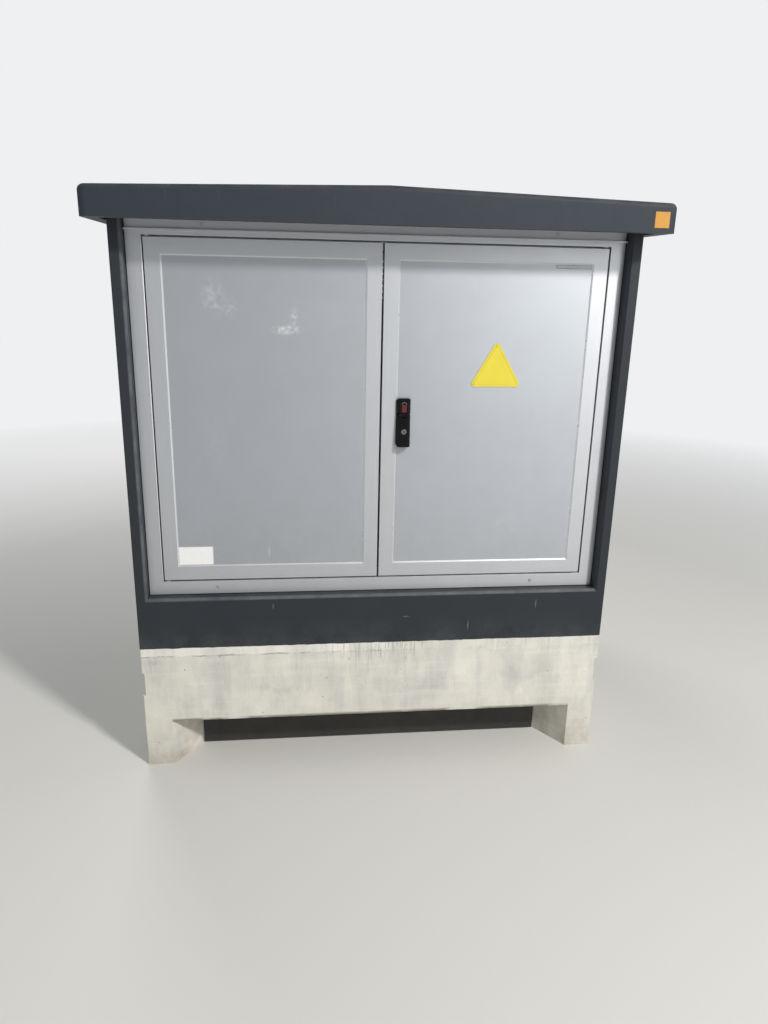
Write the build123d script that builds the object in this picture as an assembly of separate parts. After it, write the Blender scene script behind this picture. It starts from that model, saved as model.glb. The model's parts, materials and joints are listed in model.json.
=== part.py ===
# Compact transformer substation: cast concrete housing and roof, aluminium double door,
# transformer, high-voltage switchgear and low-voltage rack.
# Millimetres. X to the right, Y to the back, Z up; origin under the middle of the housing.
import os
from math import cos, radians, sin, sqrt

from build123d import *

# Housing
housing_w = 1900
housing_d = 1500
side_wall = 80
rear_wall = 80
front_wall = 150
floor_t = 90
corner_r = 6
cut_reach = 200
cut_under = 10

# Door opening, measured inside the aluminium frame
sill_z = 797
clear_w = 1696
clear_h = 1290
lintel = 22
reveal = 45
frame_joint = 2
arris = 10

# Aluminium frame section
frame_face = 54
frame_depth = 60
frame_wall = 3
stop_lip = 44
stop_t = 6
rear_lap = 37

# Door leaves
leaf_gap = 6
meeting_gap = 7
leaf_face = 55
leaf_depth = 38
leaf_wall = 2.5
panel_t = 3
panel_inset = 5
panel_groove = 14
groove_play = 0.2
profile_r = 1
gasket_w = 10
gasket_play = 0.5
gasket_back = 31.5

# Hinges
pivot_in = 12
pin_d = 10
pin_length = 24
pin_flange_d = 22
pin_flange_t = 3
pivot_play = 0.05
hinge_block = 60

# Drip bar
drip_z = 13
drip_h = 9
drip_out = 14
drip_t = 2

# Roof
roof_over_side = 60
roof_over_front = 130
roof_lip = 52
roof_lip_h = 41
roof_edge_t = 58
roof_rise = 26
roof_corner_r = 30
roof_edge_r = 20
seal_t = 6
seal_w = 40
seal_inset = 20

# Cable niche and side grooves
niche_h = 200
niche_half_front = 840
niche_half_back = 740
niche_wall = 60
entry_h = 80
entry_half = 600
entry_plate_t = 6
entry_plate_gap = 5
entry_plate_lap = 12
groove_z = 320
groove_h = 101
groove_depth = 12

# Inner floor, oil sump and pedestals
floor_top = 768
floor_plate_t = 6
floor_slot_w = 500
floor_slot_front = 60
floor_slot_back = 100
ledge_w = 30
ledge_h = 40
sump_wall_t = 60
bay_d = 670
pedestal_w = 100
pedestal_x = 400
pedestal_top = 560

# Fixings
screw_d = 8
screw_head_d = 12
screw_head_h = 2.5
screw_length = 85
screw_play = 0.2
sill_screw_x = 638
head_screw_up = 12
jamb_screw_back = 30
anchor_leg = 60
anchor_t = 6
anchor_w = 60
anchor_bolt_d = 16
anchor_bolt_in = 30
anchor_front_y = 440
anchor_rear_y = 500
anchor_wall_drop = 48
socket_d = 36
socket_length = 45
socket_bore_r = 10.5
socket_bore_depth = 38
roof_socket_x = 700
roof_socket_y = 550
side_socket_y = 500
side_socket_z = 475

# Swing handle
handle_x = 87.5
handle_top = 1524
handle_w = 52
handle_h = 184
handle_base_t = 10
head_margin = 1
head_gap = 0.8
head_top_t = 3
top_bevel_h = 16
side_bevel = 10
hub_drop = 27
hub_t = 16
spindle_d = 12
spindle_play = 0.1
lever_w = 50
lever_wedge = 10
ear_inset = 6
lever_base_gap = 1
lever_pivot_drop = 62
lever_pivot_out = 9
lever_pin_d = 6
tongue_w = 16
ear_play = 0.3
recess_d = 24
insert_w = 18
insert_h = 27
insert_drop = 23
insert_t = 2
cylinder_d = 20
cylinder_z_drop = 124
cylinder_out = 1.5
plug_d = 13
plug_sunk = 0.3
key_slot_w = 2.5

# Lock case and rods
case_w = 94
case_h = 145
case_t = 2
case_depth = 30
pinion_d = 23
rack_t = 6
rack_play = 0.2
rod_d = 12
rod_back = 17
rod_x = 40
rod_end_play = 2
rod_guide_end = 110
rod_guide_step = 270
bolt_guide_end = 80
bolt_guide_step = 100
rack_overlap = 12
rack_reach = 52
rack_jog_h = 10
guide_h = 20
guide_play = 0.1
shoot_bolt_length = 190
shoot_bolt_x = 31

# Door stays
stay_length = 240
stay_w = 16
stay_t = 6
stay_pivot_in = 180
stay_pivot_back = 15
stay_pin_d = 8
stay_lug_w = 24
stay_lug_h = 14
stay_lug_z = 40
stay_play = 0.3
hold_stud_in = 67
hold_stud_back = 54

# Plates and stickers
sign_side = 203
sign_corner_r = 12
sign_t = 2
sign_x = 440
sign_z = 1569
rivet_d = 6
rivet_h = 1.5
rivet_inset = 20
label_w = 133
label_h = 80
label_t = 0.5
label_gap = 4
strip_w = 140
strip_h = 18
strip_t = 1
marker_side = 53
marker_t = 1
marker_x = 951
marker_up = 16

# Rear louvres
louvre_w = 900
louvre_h = 250
louvre_rim = 20
louvre_t = 4
louvre_sheet = 2
louvre_slat_count = 8
louvre_slat_w = 34
louvre_slat_tilt = 45
louvre_low_z = 600
louvre_high_z = 1830

# Transformer
tank_w = 900
tank_d = 360
tank_h = 840
fin_count = 20
fin_t = 8
fin_out = 100
fin_h = 740
skid_h = 100
skid_w = 50
skid_wall = 8
skid_y = 130
skid_length = 1040
lid_over = 40
lid_t = 12
lid_bolt_d = 14
lid_bolt_h = 9
long_bolt_count = 9
short_bolt_count = 4
lug_t = 12
lug_h = 70
hv_bushing_pitch = 170
hv_bushing_back = 95
lv_bushing_pitch = 130
lv_bushing_front = 95
bushings_left = 60
hv_flange_d = 100
hv_flange_t = 14
hv_cone_d = 70
hv_cone_tip_d = 48
hv_cone_h = 110
hv_tip_d = 30
hv_tip_h = 26
lv_body_d = 44
lv_body_h = 70
lv_rib_d = 66
lv_rib_t = 6
lv_rib_low = 12
lv_flag_w = 50
lv_flag_t = 12
lv_flag_h = 80
lv_hole_d = 14
lv_hole_down = 20
lv_hole_pitch = 35
tap_in = 150
tap_boss_d = 40
tap_boss_h = 30
tap_knob_d = 70
tap_knob_h = 22
tap_spindle_d = 12
filler_in = 270
filler_d = 50
filler_h = 60

# High-voltage switchgear
aisle_d = 210
cabinet_left = 840
cabinet_w = 780
cabinet_h = 1200
cabinet_t = 3
cabinet_back = 30
cabinet_slot_w = 400
cover_h = 620
cover_gap = 2
cover_grip_w = 240
cover_grip_out = 18
gas_tank_gap = 20
gas_tank_set_back = 50
gas_tank_top_gap = 60
hv_plug_d = 60
hv_plug_h = 120
hv_plug_pitch = 120
shaft_x = 200
shaft_z = 900
shaft_d = 16
shaft_in = 70
shaft_knob_d = 64
shaft_knob_h = 24

# Low-voltage rack
rack_left = 60
rack_w = 780
rack_h = 1200
rack_post = 40
rack_set_back = 100
rack_rail_up = 60
rack_foot_front = 80
rack_foot_back = 160
rack_foot_t = 8
bar_h = 40
bar_t = 10
bar_z = 520
bar_pitch = 95
bar_inset = 20
neutral_drop = 150
fuse_count = 3
fuse_pitch = 215
fuse_w = 196
fuse_h = 260
fuse_d = 90
well_pitch = 58
well_w = 44
well_d = 50
well_low = 36
lid_w = 188
lid_h = 220
lid_d = 34
lid_wall = 3
lid_gap = 1
lid_pin_d = 6
fuse_link_w = 32
fuse_link_h = 110
fuse_link_in = 36
fuse_link_up = 60

# Earth bar
earth_w = 30
earth_t = 6
earth_length = 400
earth_z = 640
earth_hole_r = 5.5
earth_hole_count = 8
earth_end = 30
earth_foot = 20

# Levels and faces worked out from the sizes above
hw = housing_w / 2
hd = housing_d / 2
front = -hd
face_y = front + reveal
frame_half = clear_w / 2 + frame_face
clear_half = clear_w / 2
clear_top = sill_z + clear_h
frame_bottom = sill_z - frame_face
frame_top = clear_top + frame_face
wall_top = frame_top + frame_joint + lintel
roof_under = wall_top + seal_t
roof_bottom = roof_under - roof_lip_h
roof_edge_top = roof_under + roof_edge_t
roof_half_w = hw + roof_over_side
roof_half_d = hd + roof_over_front
room_half = hw - side_wall
room_front = front + front_wall
room_rear = hd - rear_wall
sump_back = room_rear - bay_d
sump_front = sump_back - sump_wall_t
frame_back = face_y + frame_depth
rebate_back = frame_back + frame_joint
leaf_bottom = sill_z + leaf_gap
leaf_h = clear_h - 2 * leaf_gap
leaf_top = leaf_bottom + leaf_h
leaf_outer = clear_half - leaf_gap
leaf_back = face_y + leaf_depth
lip_front = leaf_back + 4
pivot_x = leaf_outer - pivot_in
pivot_y = face_y + pivot_in
panel_front = face_y + panel_inset
panel_back = panel_front + panel_t
floor_under = floor_top - floor_plate_t
bay_mid = (sump_back + room_rear) / 2
case_front = leaf_back
rod_y = leaf_back + rod_back
hub_z = handle_top - hub_drop
handle_bottom = handle_top - handle_h
base_front = panel_front - handle_base_t
lever_back = base_front - lever_base_gap
hub_front = lever_back - hub_t
lever_pivot_z = handle_top - lever_pivot_drop
lever_pivot_y = base_front - lever_pivot_out
equipment_y = room_front + aisle_d
tank_top = pedestal_top + skid_h + tank_h
tap_x = tank_w / 2 + lid_over - tap_in
lid_top = tank_top + lid_t


def block(x0, x1, y0, y1, z0, z1):
    """A box between two corners."""
    return Pos((x0 + x1) / 2, (y0 + y1) / 2, (z0 + z1) / 2) * Box(x1 - x0, y1 - y0, z1 - z0)


def rod_z(x, y, z0, z1, d):
    """An upright round bar."""
    return Pos(x, y, (z0 + z1) / 2) * Cylinder(d / 2, z1 - z0)


def rod_along_y(x, z, y0, y1, d):
    """A round bar that points front to back."""
    return Pos(x, (y0 + y1) / 2, z) * Rot(90, 0, 0) * Cylinder(d / 2, y1 - y0)


def rod_along_x(y, z, x0, x1, d):
    """A round bar that points from side to side."""
    return Pos((x0 + x1) / 2, y, z) * Rot(0, 90, 0) * Cylinder(d / 2, x1 - x0)


def evenly(low, high, count):
    """Evenly spaced places from low to high."""
    return [low + i * (high - low) / (count - 1) for i in range(count)]


def mirror_x(shape):
    """The same piece on the other side of the housing."""
    return mirror(shape, about=Plane.YZ)


def save(node, *solids):
    """Write one node: a single solid, or a group of separate ones."""
    group = solids[0] if len(solids) == 1 else Compound(children=list(solids))
    export_step(group, f"parts/{node}.step")


# Concrete housing

def housing_shell():
    """The outer block with its upright corners eased, hollowed into a front room and a rear bay."""
    outer = extrude(RectangleRounded(housing_w, housing_d, corner_r), wall_top)
    room = block(-room_half, room_half, room_front, sump_front, floor_t, wall_top + 1)
    bay = block(-room_half, room_half, sump_back, room_rear, floor_t, wall_top + 1)
    over_sump = block(-room_half, room_half, sump_front - 1, sump_back + 1, floor_under, wall_top + 1)
    return outer - room - bay - over_sump


def floor_ledges():
    """Cast nibs round the front room that carry the floor plates."""
    z0 = floor_under - ledge_h
    sides = [block(s * room_half - ledge_w, s * room_half + ledge_w, room_front, sump_front,
                   z0, floor_under) for s in (-1, 1)]
    front_nib = block(-room_half, room_half, room_front - 1, room_front + ledge_w, z0, floor_under)
    return sides + [front_nib]


def pedestals():
    """Two cast beams across the oil sump that carry the transformer."""
    return [block(x - pedestal_w / 2, x + pedestal_w / 2, sump_back - 1, room_rear + 1,
                  floor_t - 1, pedestal_top) for x in (-pedestal_x, pedestal_x)]


def door_rebate():
    """The stepped opening that the aluminium frame sits in, with an eased front edge."""
    half = frame_half + frame_joint
    bottom = frame_bottom - frame_joint
    top = frame_top + frame_joint
    rebate = block(-half, half, front - 1, rebate_back, bottom, top)
    way = block(-frame_half + rear_lap, frame_half - rear_lap, rebate_back - 1, room_front + 1,
                frame_bottom + rear_lap, frame_top - rear_lap)
    mouth = Rectangle(2 * (half + arris), top - bottom + 2 * arris)
    eased = Pos(0, front, (top + bottom) / 2) * Rot(90, 0, 0) * mouth
    return rebate + way + extrude(eased, arris, dir=(0, 1, 0), taper=45)


def niche():
    """The splayed recess in the foot of the front, open in front and below."""
    plan = Polygon((-niche_half_front, front - 1), (niche_half_front, front - 1),
                   (niche_half_front, front), (niche_half_back, room_front),
                   (-niche_half_back, room_front), (-niche_half_front, front), align=None)
    return Pos(0, 0, -1) * extrude(plan, niche_h + 1)


def entry_window():
    """The way through the back of the niche for the cables."""
    return block(-entry_half, entry_half, room_front - 1, room_front + niche_wall + 1,
                 floor_t, floor_t + entry_h)


def louvre_window(z):
    """An opening in the rear wall for one louvre, with a little room round it."""
    half = louvre_w / 2 + 1
    return block(-half, half, room_rear - 1, hd + 1, z - 1, z + louvre_h + 1)


def anchor_places():
    """Side, and distance from the middle, of each roof anchor."""
    return [(s, y) for s in (-1, 1) for y in (-anchor_front_y, anchor_rear_y)]


def frame_screw_ways():
    """Each frame screw as a place and a direction: 'y' goes to the back, 'x' to a side."""
    ways = []
    for x in (-sill_screw_x, sill_screw_x):
        ways.append((x, face_y, frame_bottom + frame_face / 2, "y", 1))
        ways.append((x, face_y, clear_top + frame_face / 2 + head_screw_up, "y", 1))
    for side in (-1, 1):
        for part in (0.2, 0.5, 0.8):
            ways.append((side * clear_half, face_y + jamb_screw_back, sill_z + part * clear_h, "x", side))
    return ways


def screw_cut(way, length, d):
    """A straight hole for one frame screw."""
    x, y, z, kind, side = way
    if kind == "y":
        return rod_along_y(x, z, y - 1, y + length, d)
    return rod_along_x(y, z, min(x - side, x + side * length), max(x - side, x + side * length), d)


def screw(way):
    """One frame screw: a low round head and a shank."""
    x, y, z, kind, side = way
    if kind == "y":
        head = rod_along_y(x, z, y - screw_head_h, y, screw_head_d)
        return head + rod_along_y(x, z, y, y + screw_length, screw_d)
    head = rod_along_x(y, z, min(x, x - side * screw_head_h), max(x, x - side * screw_head_h), screw_head_d)
    shank = rod_along_x(y, z, min(x, x + side * screw_length), max(x, x + side * screw_length), screw_d)
    return head + shank


def socket_places():
    """Mouth and outward direction of each lifting socket: four in the roof, four in the sides."""
    top = roof_top_at(roof_socket_x + socket_d / 2)
    roof_places = [((x, y, top), (0, 0, 1)) for x in (-roof_socket_x, roof_socket_x)
                   for y in (-roof_socket_y, roof_socket_y)]
    side_places = [((s * hw, y, side_socket_z), (s, 0, 0)) for s in (-1, 1)
                   for y in (-side_socket_y, side_socket_y)]
    return roof_places + side_places


def socket_plane(place):
    """A plane at the mouth of a socket, facing out."""
    point, out = place
    return Plane(origin=point, z_dir=out)


def socket(place):
    """A blind threaded sleeve that a lifting eye screws into."""
    plane = socket_plane(place)
    sleeve = plane * Pos(0, 0, -socket_length / 2) * Cylinder(socket_d / 2, socket_length)
    bore = plane * Pos(0, 0, -socket_bore_depth / 2) * Cylinder(socket_bore_r, socket_bore_depth)
    return sleeve - bore


def socket_seat(place):
    """The hole that a lifting socket is cast into."""
    plane = socket_plane(place)
    depth = 2 * socket_length
    return plane * Pos(0, 0, 0) * Cylinder(socket_d / 2, depth)


def make_housing():
    """The whole casting with every recess and hole."""
    cast = housing_shell()
    back_of_niche = block(-niche_half_back - 40, niche_half_back + 40, room_front - 1,
                          room_front + niche_wall, floor_t - 1, niche_h + niche_wall)
    cast = cast + floor_ledges() + pedestals() + back_of_niche
    cast = cast - door_rebate() - niche() - entry_window()
    for side in (-1, 1):
        x = side * hw
        cast -= block(x - groove_depth, x + groove_depth, front - 1, hd + 1, groove_z, groove_z + groove_h)
    for z in (louvre_low_z, louvre_high_z):
        cast -= louvre_window(z)
    for way in frame_screw_ways():
        cast -= screw_cut(way, screw_length + 1, screw_d + 2 * screw_play)
    for side, y in anchor_places():
        cast -= anchor_wall_hole(side, y)
    for place in socket_places()[4:]:
        cast -= socket_seat(place)
    for x in entry_bolt_xs():
        cast -= rod_along_y(x, entry_bolt_z(), room_front - 1, room_front + 31, screw_d + 2 * screw_play)
    return cast


# Roof

def roof_top_at(x):
    """Height of the sloping top of the roof at a distance from the ridge."""
    return roof_edge_top + roof_rise * (1 - abs(x) / roof_half_w)


def make_roof():
    """The lid: a slab that slopes both ways from a ridge, with a downstand all round."""
    gable = Polygon((-roof_half_w, roof_bottom), (roof_half_w, roof_bottom),
                    (roof_half_w, roof_edge_top), (0, roof_edge_top + roof_rise),
                    (-roof_half_w, roof_edge_top), align=None)
    slab = extrude(Plane.XZ * gable, roof_half_d, both=True)
    plan = extrude(RectangleRounded(2 * roof_half_w, 2 * roof_half_d, roof_corner_r), 2 * roof_edge_top)
    slab = slab & plan
    rim = slab.faces().sort_by(Axis.Z)[-2:].edges().filter_by(
        lambda e: not (abs(e.center().X) < 1 and abs(e.center().Y) < 1))
    slab = fillet(rim, roof_edge_r)
    hollow = block(-roof_half_w + roof_lip, roof_half_w - roof_lip, -roof_half_d + roof_lip,
                   roof_half_d - roof_lip, roof_bottom - 1, roof_under)
    slab = slab - hollow
    for side, y in anchor_places():
        slab -= rod_z(anchor_bolt_x(side), y, roof_under - 1, roof_under + anchor_bolt_in + 1,
                      anchor_bolt_d + 2 * screw_play)
    for place in socket_places()[:4]:
        slab -= socket_seat(place)
    return slab


def make_roof_seal():
    """A flat rubber strip between the wall tops and the roof."""
    outer = block(-hw + seal_inset, hw - seal_inset, front + seal_inset, hd - seal_inset,
                  wall_top, roof_under)
    inset = seal_inset + seal_w
    inner = block(-hw + inset, hw - inset, front + inset, hd - inset, wall_top - 1, roof_under + 1)
    return outer - inner


def anchor_bolt_x(side):
    """Where the upright bolt of an anchor stands."""
    return side * (room_half - anchor_leg / 2 - anchor_t)


def anchor_wall_z():
    """Height of the bolt that holds an anchor to the wall."""
    return roof_under - anchor_wall_drop


def anchor_wall_hole(side, y):
    """The hole in the wall for an anchor bolt."""
    x0, x1 = sorted((side * (room_half - 1), side * (room_half + anchor_bolt_in + 1)))
    return rod_along_x(y, anchor_wall_z(), x0, x1, anchor_bolt_d + 2 * screw_play)


def anchor_bolt(plane):
    """A hexagon bolt: its head stands out of the plane, its shank goes in."""
    head = extrude(plane * RegularPolygon(anchor_bolt_d * 0.85, 6), anchor_bolt_d * 0.6)
    shank = plane * Pos(0, 0, -(anchor_bolt_in + anchor_t) / 2) * Cylinder(
        anchor_bolt_d / 2, anchor_bolt_in + anchor_t)
    return head + shank


def make_roof_anchors():
    """Four steel angles, each bolted to the wall and up into the roof."""
    pieces = []
    for side, y in anchor_places():
        x_wall = side * room_half
        x_in = side * (room_half - anchor_leg - anchor_t)
        x_t = side * (room_half - anchor_t)
        y0, y1 = y - anchor_w / 2, y + anchor_w / 2
        z0 = anchor_wall_z() - anchor_leg / 2
        wall_leg = block(min(x_wall, x_t), max(x_wall, x_t), y0, y1, z0, roof_under)
        roof_leg = block(min(x_wall, x_in), max(x_wall, x_in), y0, y1, roof_under - anchor_t, roof_under)
        up = Plane(origin=(anchor_bolt_x(side), y, roof_under - anchor_t), z_dir=(0, 0, -1))
        out = Plane(origin=(x_t, y, anchor_wall_z()), z_dir=(-side, 0, 0))
        hole = anchor_bolt_d + 2 * screw_play
        angle = wall_leg + roof_leg
        angle -= rod_z(anchor_bolt_x(side), y, roof_under - 20, roof_under + 1, hole)
        hx0, hx1 = sorted((x_wall + side, x_t - side))
        angle -= rod_along_x(y, anchor_wall_z(), hx0, hx1, hole)
        pieces += [angle, anchor_bolt(up), anchor_bolt(out)]
    return pieces


# Mitred aluminium members

def tube_section(face, depth, wall):
    """A hollow rectangle with eased corners, outer edge at 0, front at 0."""
    outer = Pos(depth / 2, face / 2) * RectangleRounded(depth, face, profile_r)
    inner = Pos(depth / 2, face / 2) * Rectangle(depth - 2 * wall, face - 2 * wall)
    return outer - inner


def frame_section():
    """Frame profile: a hollow tube with the stop lip that the leaf closes on."""
    lip_in = lip_front - face_y
    lip = Pos(lip_in + stop_t / 2, frame_face + stop_lip / 2 - 1) * Rectangle(stop_t, stop_lip + 2)
    return tube_section(frame_face, frame_depth, frame_wall) + lip


def leaf_section(solid=False):
    """Leaf profile: a tube, then a solid nose with the groove that holds the panel."""
    tube_w = leaf_face - panel_groove - leaf_wall
    outer = Pos(leaf_depth / 2, leaf_face / 2) * RectangleRounded(leaf_depth, leaf_face, profile_r)
    cavity = Pos(leaf_depth / 2, tube_w / 2 + leaf_wall / 2) * Rectangle(
        leaf_depth - 2 * leaf_wall, tube_w - leaf_wall)
    slot_t = panel_t + 2 * groove_play
    groove = Rectangle(slot_t, panel_groove + 2)
    slot = Pos(panel_inset + panel_t / 2, leaf_face - panel_groove / 2 + 1) * groove
    return outer - slot if solid else outer - cavity - slot


def member(section, length, reach):
    """A length of profile along X with both ends mitred; outer edge at z 0, front at y 0."""
    bar = extrude(Plane.YZ * section, length / 2, both=True)
    half = length / 2
    keep = Polygon((-half, 0), (half, 0), (half - reach, reach), (-half + reach, reach), align=None)
    return bar & (Plane.XZ * extrude(keep, 200, both=True))


def ring_of_members(section, x0, x1, z0, z1, y, reach, end_block=0, block_section=None):
    """Four members round a rectangle: bottom, top, left and right."""
    wide, tall = x1 - x0, z1 - z0
    flat = member(section, wide, reach)
    upright = member(section, tall, reach)
    if end_block:
        full = member(block_section, tall, reach)
        middle = block(-tall / 2 + end_block, tall / 2 - end_block, -cut_reach, cut_reach, -cut_under,
                       cut_reach)
        upright = upright + (full - middle)
    mid_x, mid_z = (x0 + x1) / 2, (z0 + z1) / 2
    bottom = Pos(mid_x, y, z0) * flat
    top = Pos(mid_x, y, z1) * Rot(0, 180, 0) * flat
    left = Pos(x0, y, mid_z) * Rot(0, 90, 0) * upright
    right = Pos(x1, y, mid_z) * Rot(0, -90, 0) * upright
    return bottom, top, left, right


def hold_studs():
    """Two studs on the sill, behind the stop lip, that hold the eyes of the stays."""
    top = stay_z() + stay_t + 3
    return [rod_z(s * (pivot_x - hold_stud_in), face_y + hold_stud_back, sill_z, top, stay_pin_d)
            for s in (-1, 1)]


def make_frame():
    """Sill with its studs, head, left jamb and right jamb, drilled for their screws."""
    reach = frame_face + stop_lip
    sides = list(ring_of_members(frame_section(), -frame_half, frame_half, frame_bottom, frame_top,
                                 face_y, reach))
    sides[0] = sides[0] + hold_studs()
    drilled = []
    for bar in sides:
        for way in frame_screw_ways():
            bar = bar - screw_cut(way, screw_length + 1, screw_d + 2 * screw_play)
        drilled.append(bar)
    return drilled


def make_drip_bar():
    """A folded strip on the head that throws rain clear of the doors."""
    z0 = clear_top + drip_z
    half = frame_half + frame_joint / 2
    flange = block(-half, half, face_y - drip_t, face_y, z0, z0 + drip_h)
    shelf = block(-half, half, face_y - drip_out, face_y, z0 + drip_h - drip_t, z0 + drip_h)
    nose = block(-half, half, face_y - drip_out, face_y - drip_out + drip_t, z0 + 2, z0 + drip_h)
    return flange + shelf + nose


def make_gasket():
    """A rubber ring on the stop lip, just clear of the leaves."""
    x0 = clear_half - gasket_back
    z0, z1 = sill_z + gasket_back, clear_top - gasket_back
    y0, y1 = leaf_back + gasket_play, lip_front
    w = gasket_w
    outer = block(-x0, x0, y0, y1, z0, z1)
    return outer - block(-x0 + w, x0 - w, y0 - 1, y1 + 1, z0 + w, z1 - w)


# Door leaves, built on the right and mirrored for the left

def pivot_hole():
    """Bores for the two hinge pins of the right leaf."""
    d = pin_d + 2 * pivot_play
    depth = pin_length + 1
    low = rod_z(pivot_x, pivot_y, leaf_bottom - 1, leaf_bottom + depth, d)
    high = rod_z(pivot_x, pivot_y, leaf_top - depth, leaf_top + 1, d)
    return low + high


def leaf_members():
    """Bottom rail, top rail, lock stile and hinge stile of the right leaf."""
    return ring_of_members(leaf_section(), meeting_gap / 2, leaf_outer, leaf_bottom, leaf_top,
                           face_y, leaf_face, hinge_block, leaf_section(solid=True))


def stay_lug():
    """The lug and stud on the bottom rail that the door stay turns on."""
    x, z0 = pivot_x - stay_pivot_in, leaf_bottom + stay_lug_z
    y = leaf_back + stay_pivot_back
    lug = block(x - stay_lug_w / 2, x + stay_lug_w / 2, leaf_back, y + stay_lug_w / 2, z0, z0 + stay_lug_h)
    stud = rod_z(x, y, z0 + stay_lug_h, z0 + stay_lug_h + stay_t + 4, stay_pin_d)
    return lug + stud


def guide(x, z):
    """A guide block on the back of a stile with an upright bore for a rod."""
    lump = block(x - rod_d, x + rod_d, leaf_back, rod_y + rod_d / 2 + 3, z - guide_h / 2, z + guide_h / 2)
    return lump - rod_z(x, rod_y, z - guide_h, z + guide_h, rod_d + 2 * guide_play)


def make_right_leaf():
    """The active leaf: rails, stiles and panel, with rod guides and the stay's lug."""
    bottom, top, lock_stile, hinge_stile = leaf_members()
    bottom = bottom - pivot_hole() + stay_lug()
    top = top - pivot_hole()
    hinge_stile = hinge_stile - pivot_hole()
    for z in rod_guide_heights():
        lock_stile = lock_stile + guide(rod_x, z)
    return bottom, top, lock_stile, hinge_stile


def make_left_leaf():
    """The passive leaf, with guides for its two shoot bolts."""
    bottom, top, lock_stile, hinge_stile = leaf_members()
    bottom = bottom - pivot_hole() + stay_lug()
    top = top - pivot_hole()
    hinge_stile = hinge_stile - pivot_hole()
    for z in bolt_guide_heights():
        lock_stile = lock_stile + guide(shoot_bolt_x, z)
    return [mirror_x(piece) for piece in (bottom, top, lock_stile, hinge_stile)]


def make_panel():
    """The right sheet panel, held in the grooves and drilled for the handle's spindle."""
    into = panel_groove - 1
    x0 = meeting_gap / 2 + leaf_face - into
    x1 = leaf_outer - leaf_face + into
    z0 = leaf_bottom + leaf_face - into
    z1 = leaf_top - leaf_face + into
    return block(x0, x1, panel_front, panel_back, z0, z1)


def make_hinge_pins():
    """Four pins with flanges, standing on the sill and hanging from the head."""
    pins = []
    for side in (-1, 1):
        x = side * pivot_x
        low = rod_z(x, pivot_y, sill_z, sill_z + pin_flange_t, pin_flange_d)
        low += rod_z(x, pivot_y, sill_z, leaf_bottom + pin_length, pin_d)
        high = rod_z(x, pivot_y, clear_top - pin_flange_t, clear_top, pin_flange_d)
        high += rod_z(x, pivot_y, leaf_top - pin_length, clear_top, pin_d)
        pins += [low, high]
    return pins


# Door stays

def stay_z():
    """Underside of the bar of a stay."""
    return leaf_bottom + stay_lug_z + stay_lug_h + stay_play


def make_stay():
    """The right stay: a flat bar with an eye at each end, folded along the leaf."""
    x, y = pivot_x - stay_pivot_in, leaf_back + stay_pivot_back
    z0 = stay_z()
    far = x - stay_length
    bar = block(far, x, y - stay_w / 2, y + stay_w / 2, z0, z0 + stay_t)
    for end in (x, far):
        bar += rod_z(end, y, z0, z0 + stay_t, stay_w + 4)
    for end in (x, far):
        bar -= rod_z(end, y, z0 - 1, z0 + stay_t + 1, stay_pin_d + 2 * pivot_play)
    return bar


# Swing handle and lock

def make_handle_base():
    """The flat plate of the handle, screwed to the panel."""
    plate = block(handle_x - handle_w / 2, handle_x + handle_w / 2, base_front, panel_front,
                  handle_bottom, handle_top)
    plate = fillet(plate.edges().filter_by(Axis.Y), 8)
    plate = chamfer(plate.faces().sort_by(Axis.Y)[0].edges(), 2)
    return plate - rod_along_y(handle_x, hub_z, base_front - 1, panel_front + 1, spindle_d + 2 * spindle_play)


def ear_r():
    """Radius of the lever's ears, just clear of the base when they turn."""
    return lever_back - lever_pivot_y - ear_play


def hub_head():
    """The head of the handle: bevelled along its sides, with a sloping top."""
    bottom = lever_pivot_z + ear_r() + head_gap
    x0, x1 = handle_x - lever_w / 2, handle_x + lever_w / 2
    head = block(x0, x1, hub_front, lever_back, bottom, handle_top - head_margin)
    head = chamfer(head.edges().filter_by(Axis.Z).sort_by(Axis.Y)[:2], side_bevel)
    top = handle_top - head_margin
    slope = Polygon((lever_back, bottom), (lever_back, top), (lever_back - head_top_t, top),
                    (hub_front, top - top_bevel_h), (hub_front, bottom), align=None)
    return head & extrude(Plane.YZ * slope, handle_x + handle_w)


def insert_seat():
    """The seat of the red insert in the head's face."""
    bottom = hub_z - insert_drop
    return block(handle_x - insert_w / 2, handle_x + insert_w / 2, hub_front, hub_front + insert_t,
                 bottom, bottom + insert_h)


def make_handle_hub():
    """The head with its tongue and cross pin, and the spindle with its pinion."""
    recess = rod_along_y(handle_x, hub_z, hub_front - 1, hub_front + insert_t, recess_d)
    tongue = block(handle_x - tongue_w / 2, handle_x + tongue_w / 2, lever_pivot_y - 7, lever_back,
                   lever_pivot_z - 6, hub_z)
    tongue = tongue - block(handle_x - tongue_w, handle_x + tongue_w, hub_front - 1, hub_front + insert_t,
                            lever_pivot_z, hub_z + 1)
    pin = rod_along_x(lever_pivot_y, lever_pivot_z, handle_x - lever_w / 2 + 2, handle_x + lever_w / 2 - 2,
                      lever_pin_d)
    pinion_y = rod_y - rod_d / 2
    spindle = rod_along_y(handle_x, hub_z, lever_back - 2, pinion_y + 2, spindle_d)
    pinion = rod_along_y(handle_x, hub_z, pinion_y, pinion_y + rod_d, pinion_d)
    return hub_head() - insert_seat() - recess + tongue + pin + spindle + pinion


def make_handle_insert():
    """The red inlay, flush with the face of the head."""
    return insert_seat()


def lever_front_at(z):
    """Depth of the lever's sloping front at a height."""
    share = (lever_pivot_z - z) / (lever_pivot_z - handle_bottom)
    return hub_front - lever_wedge * share


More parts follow.
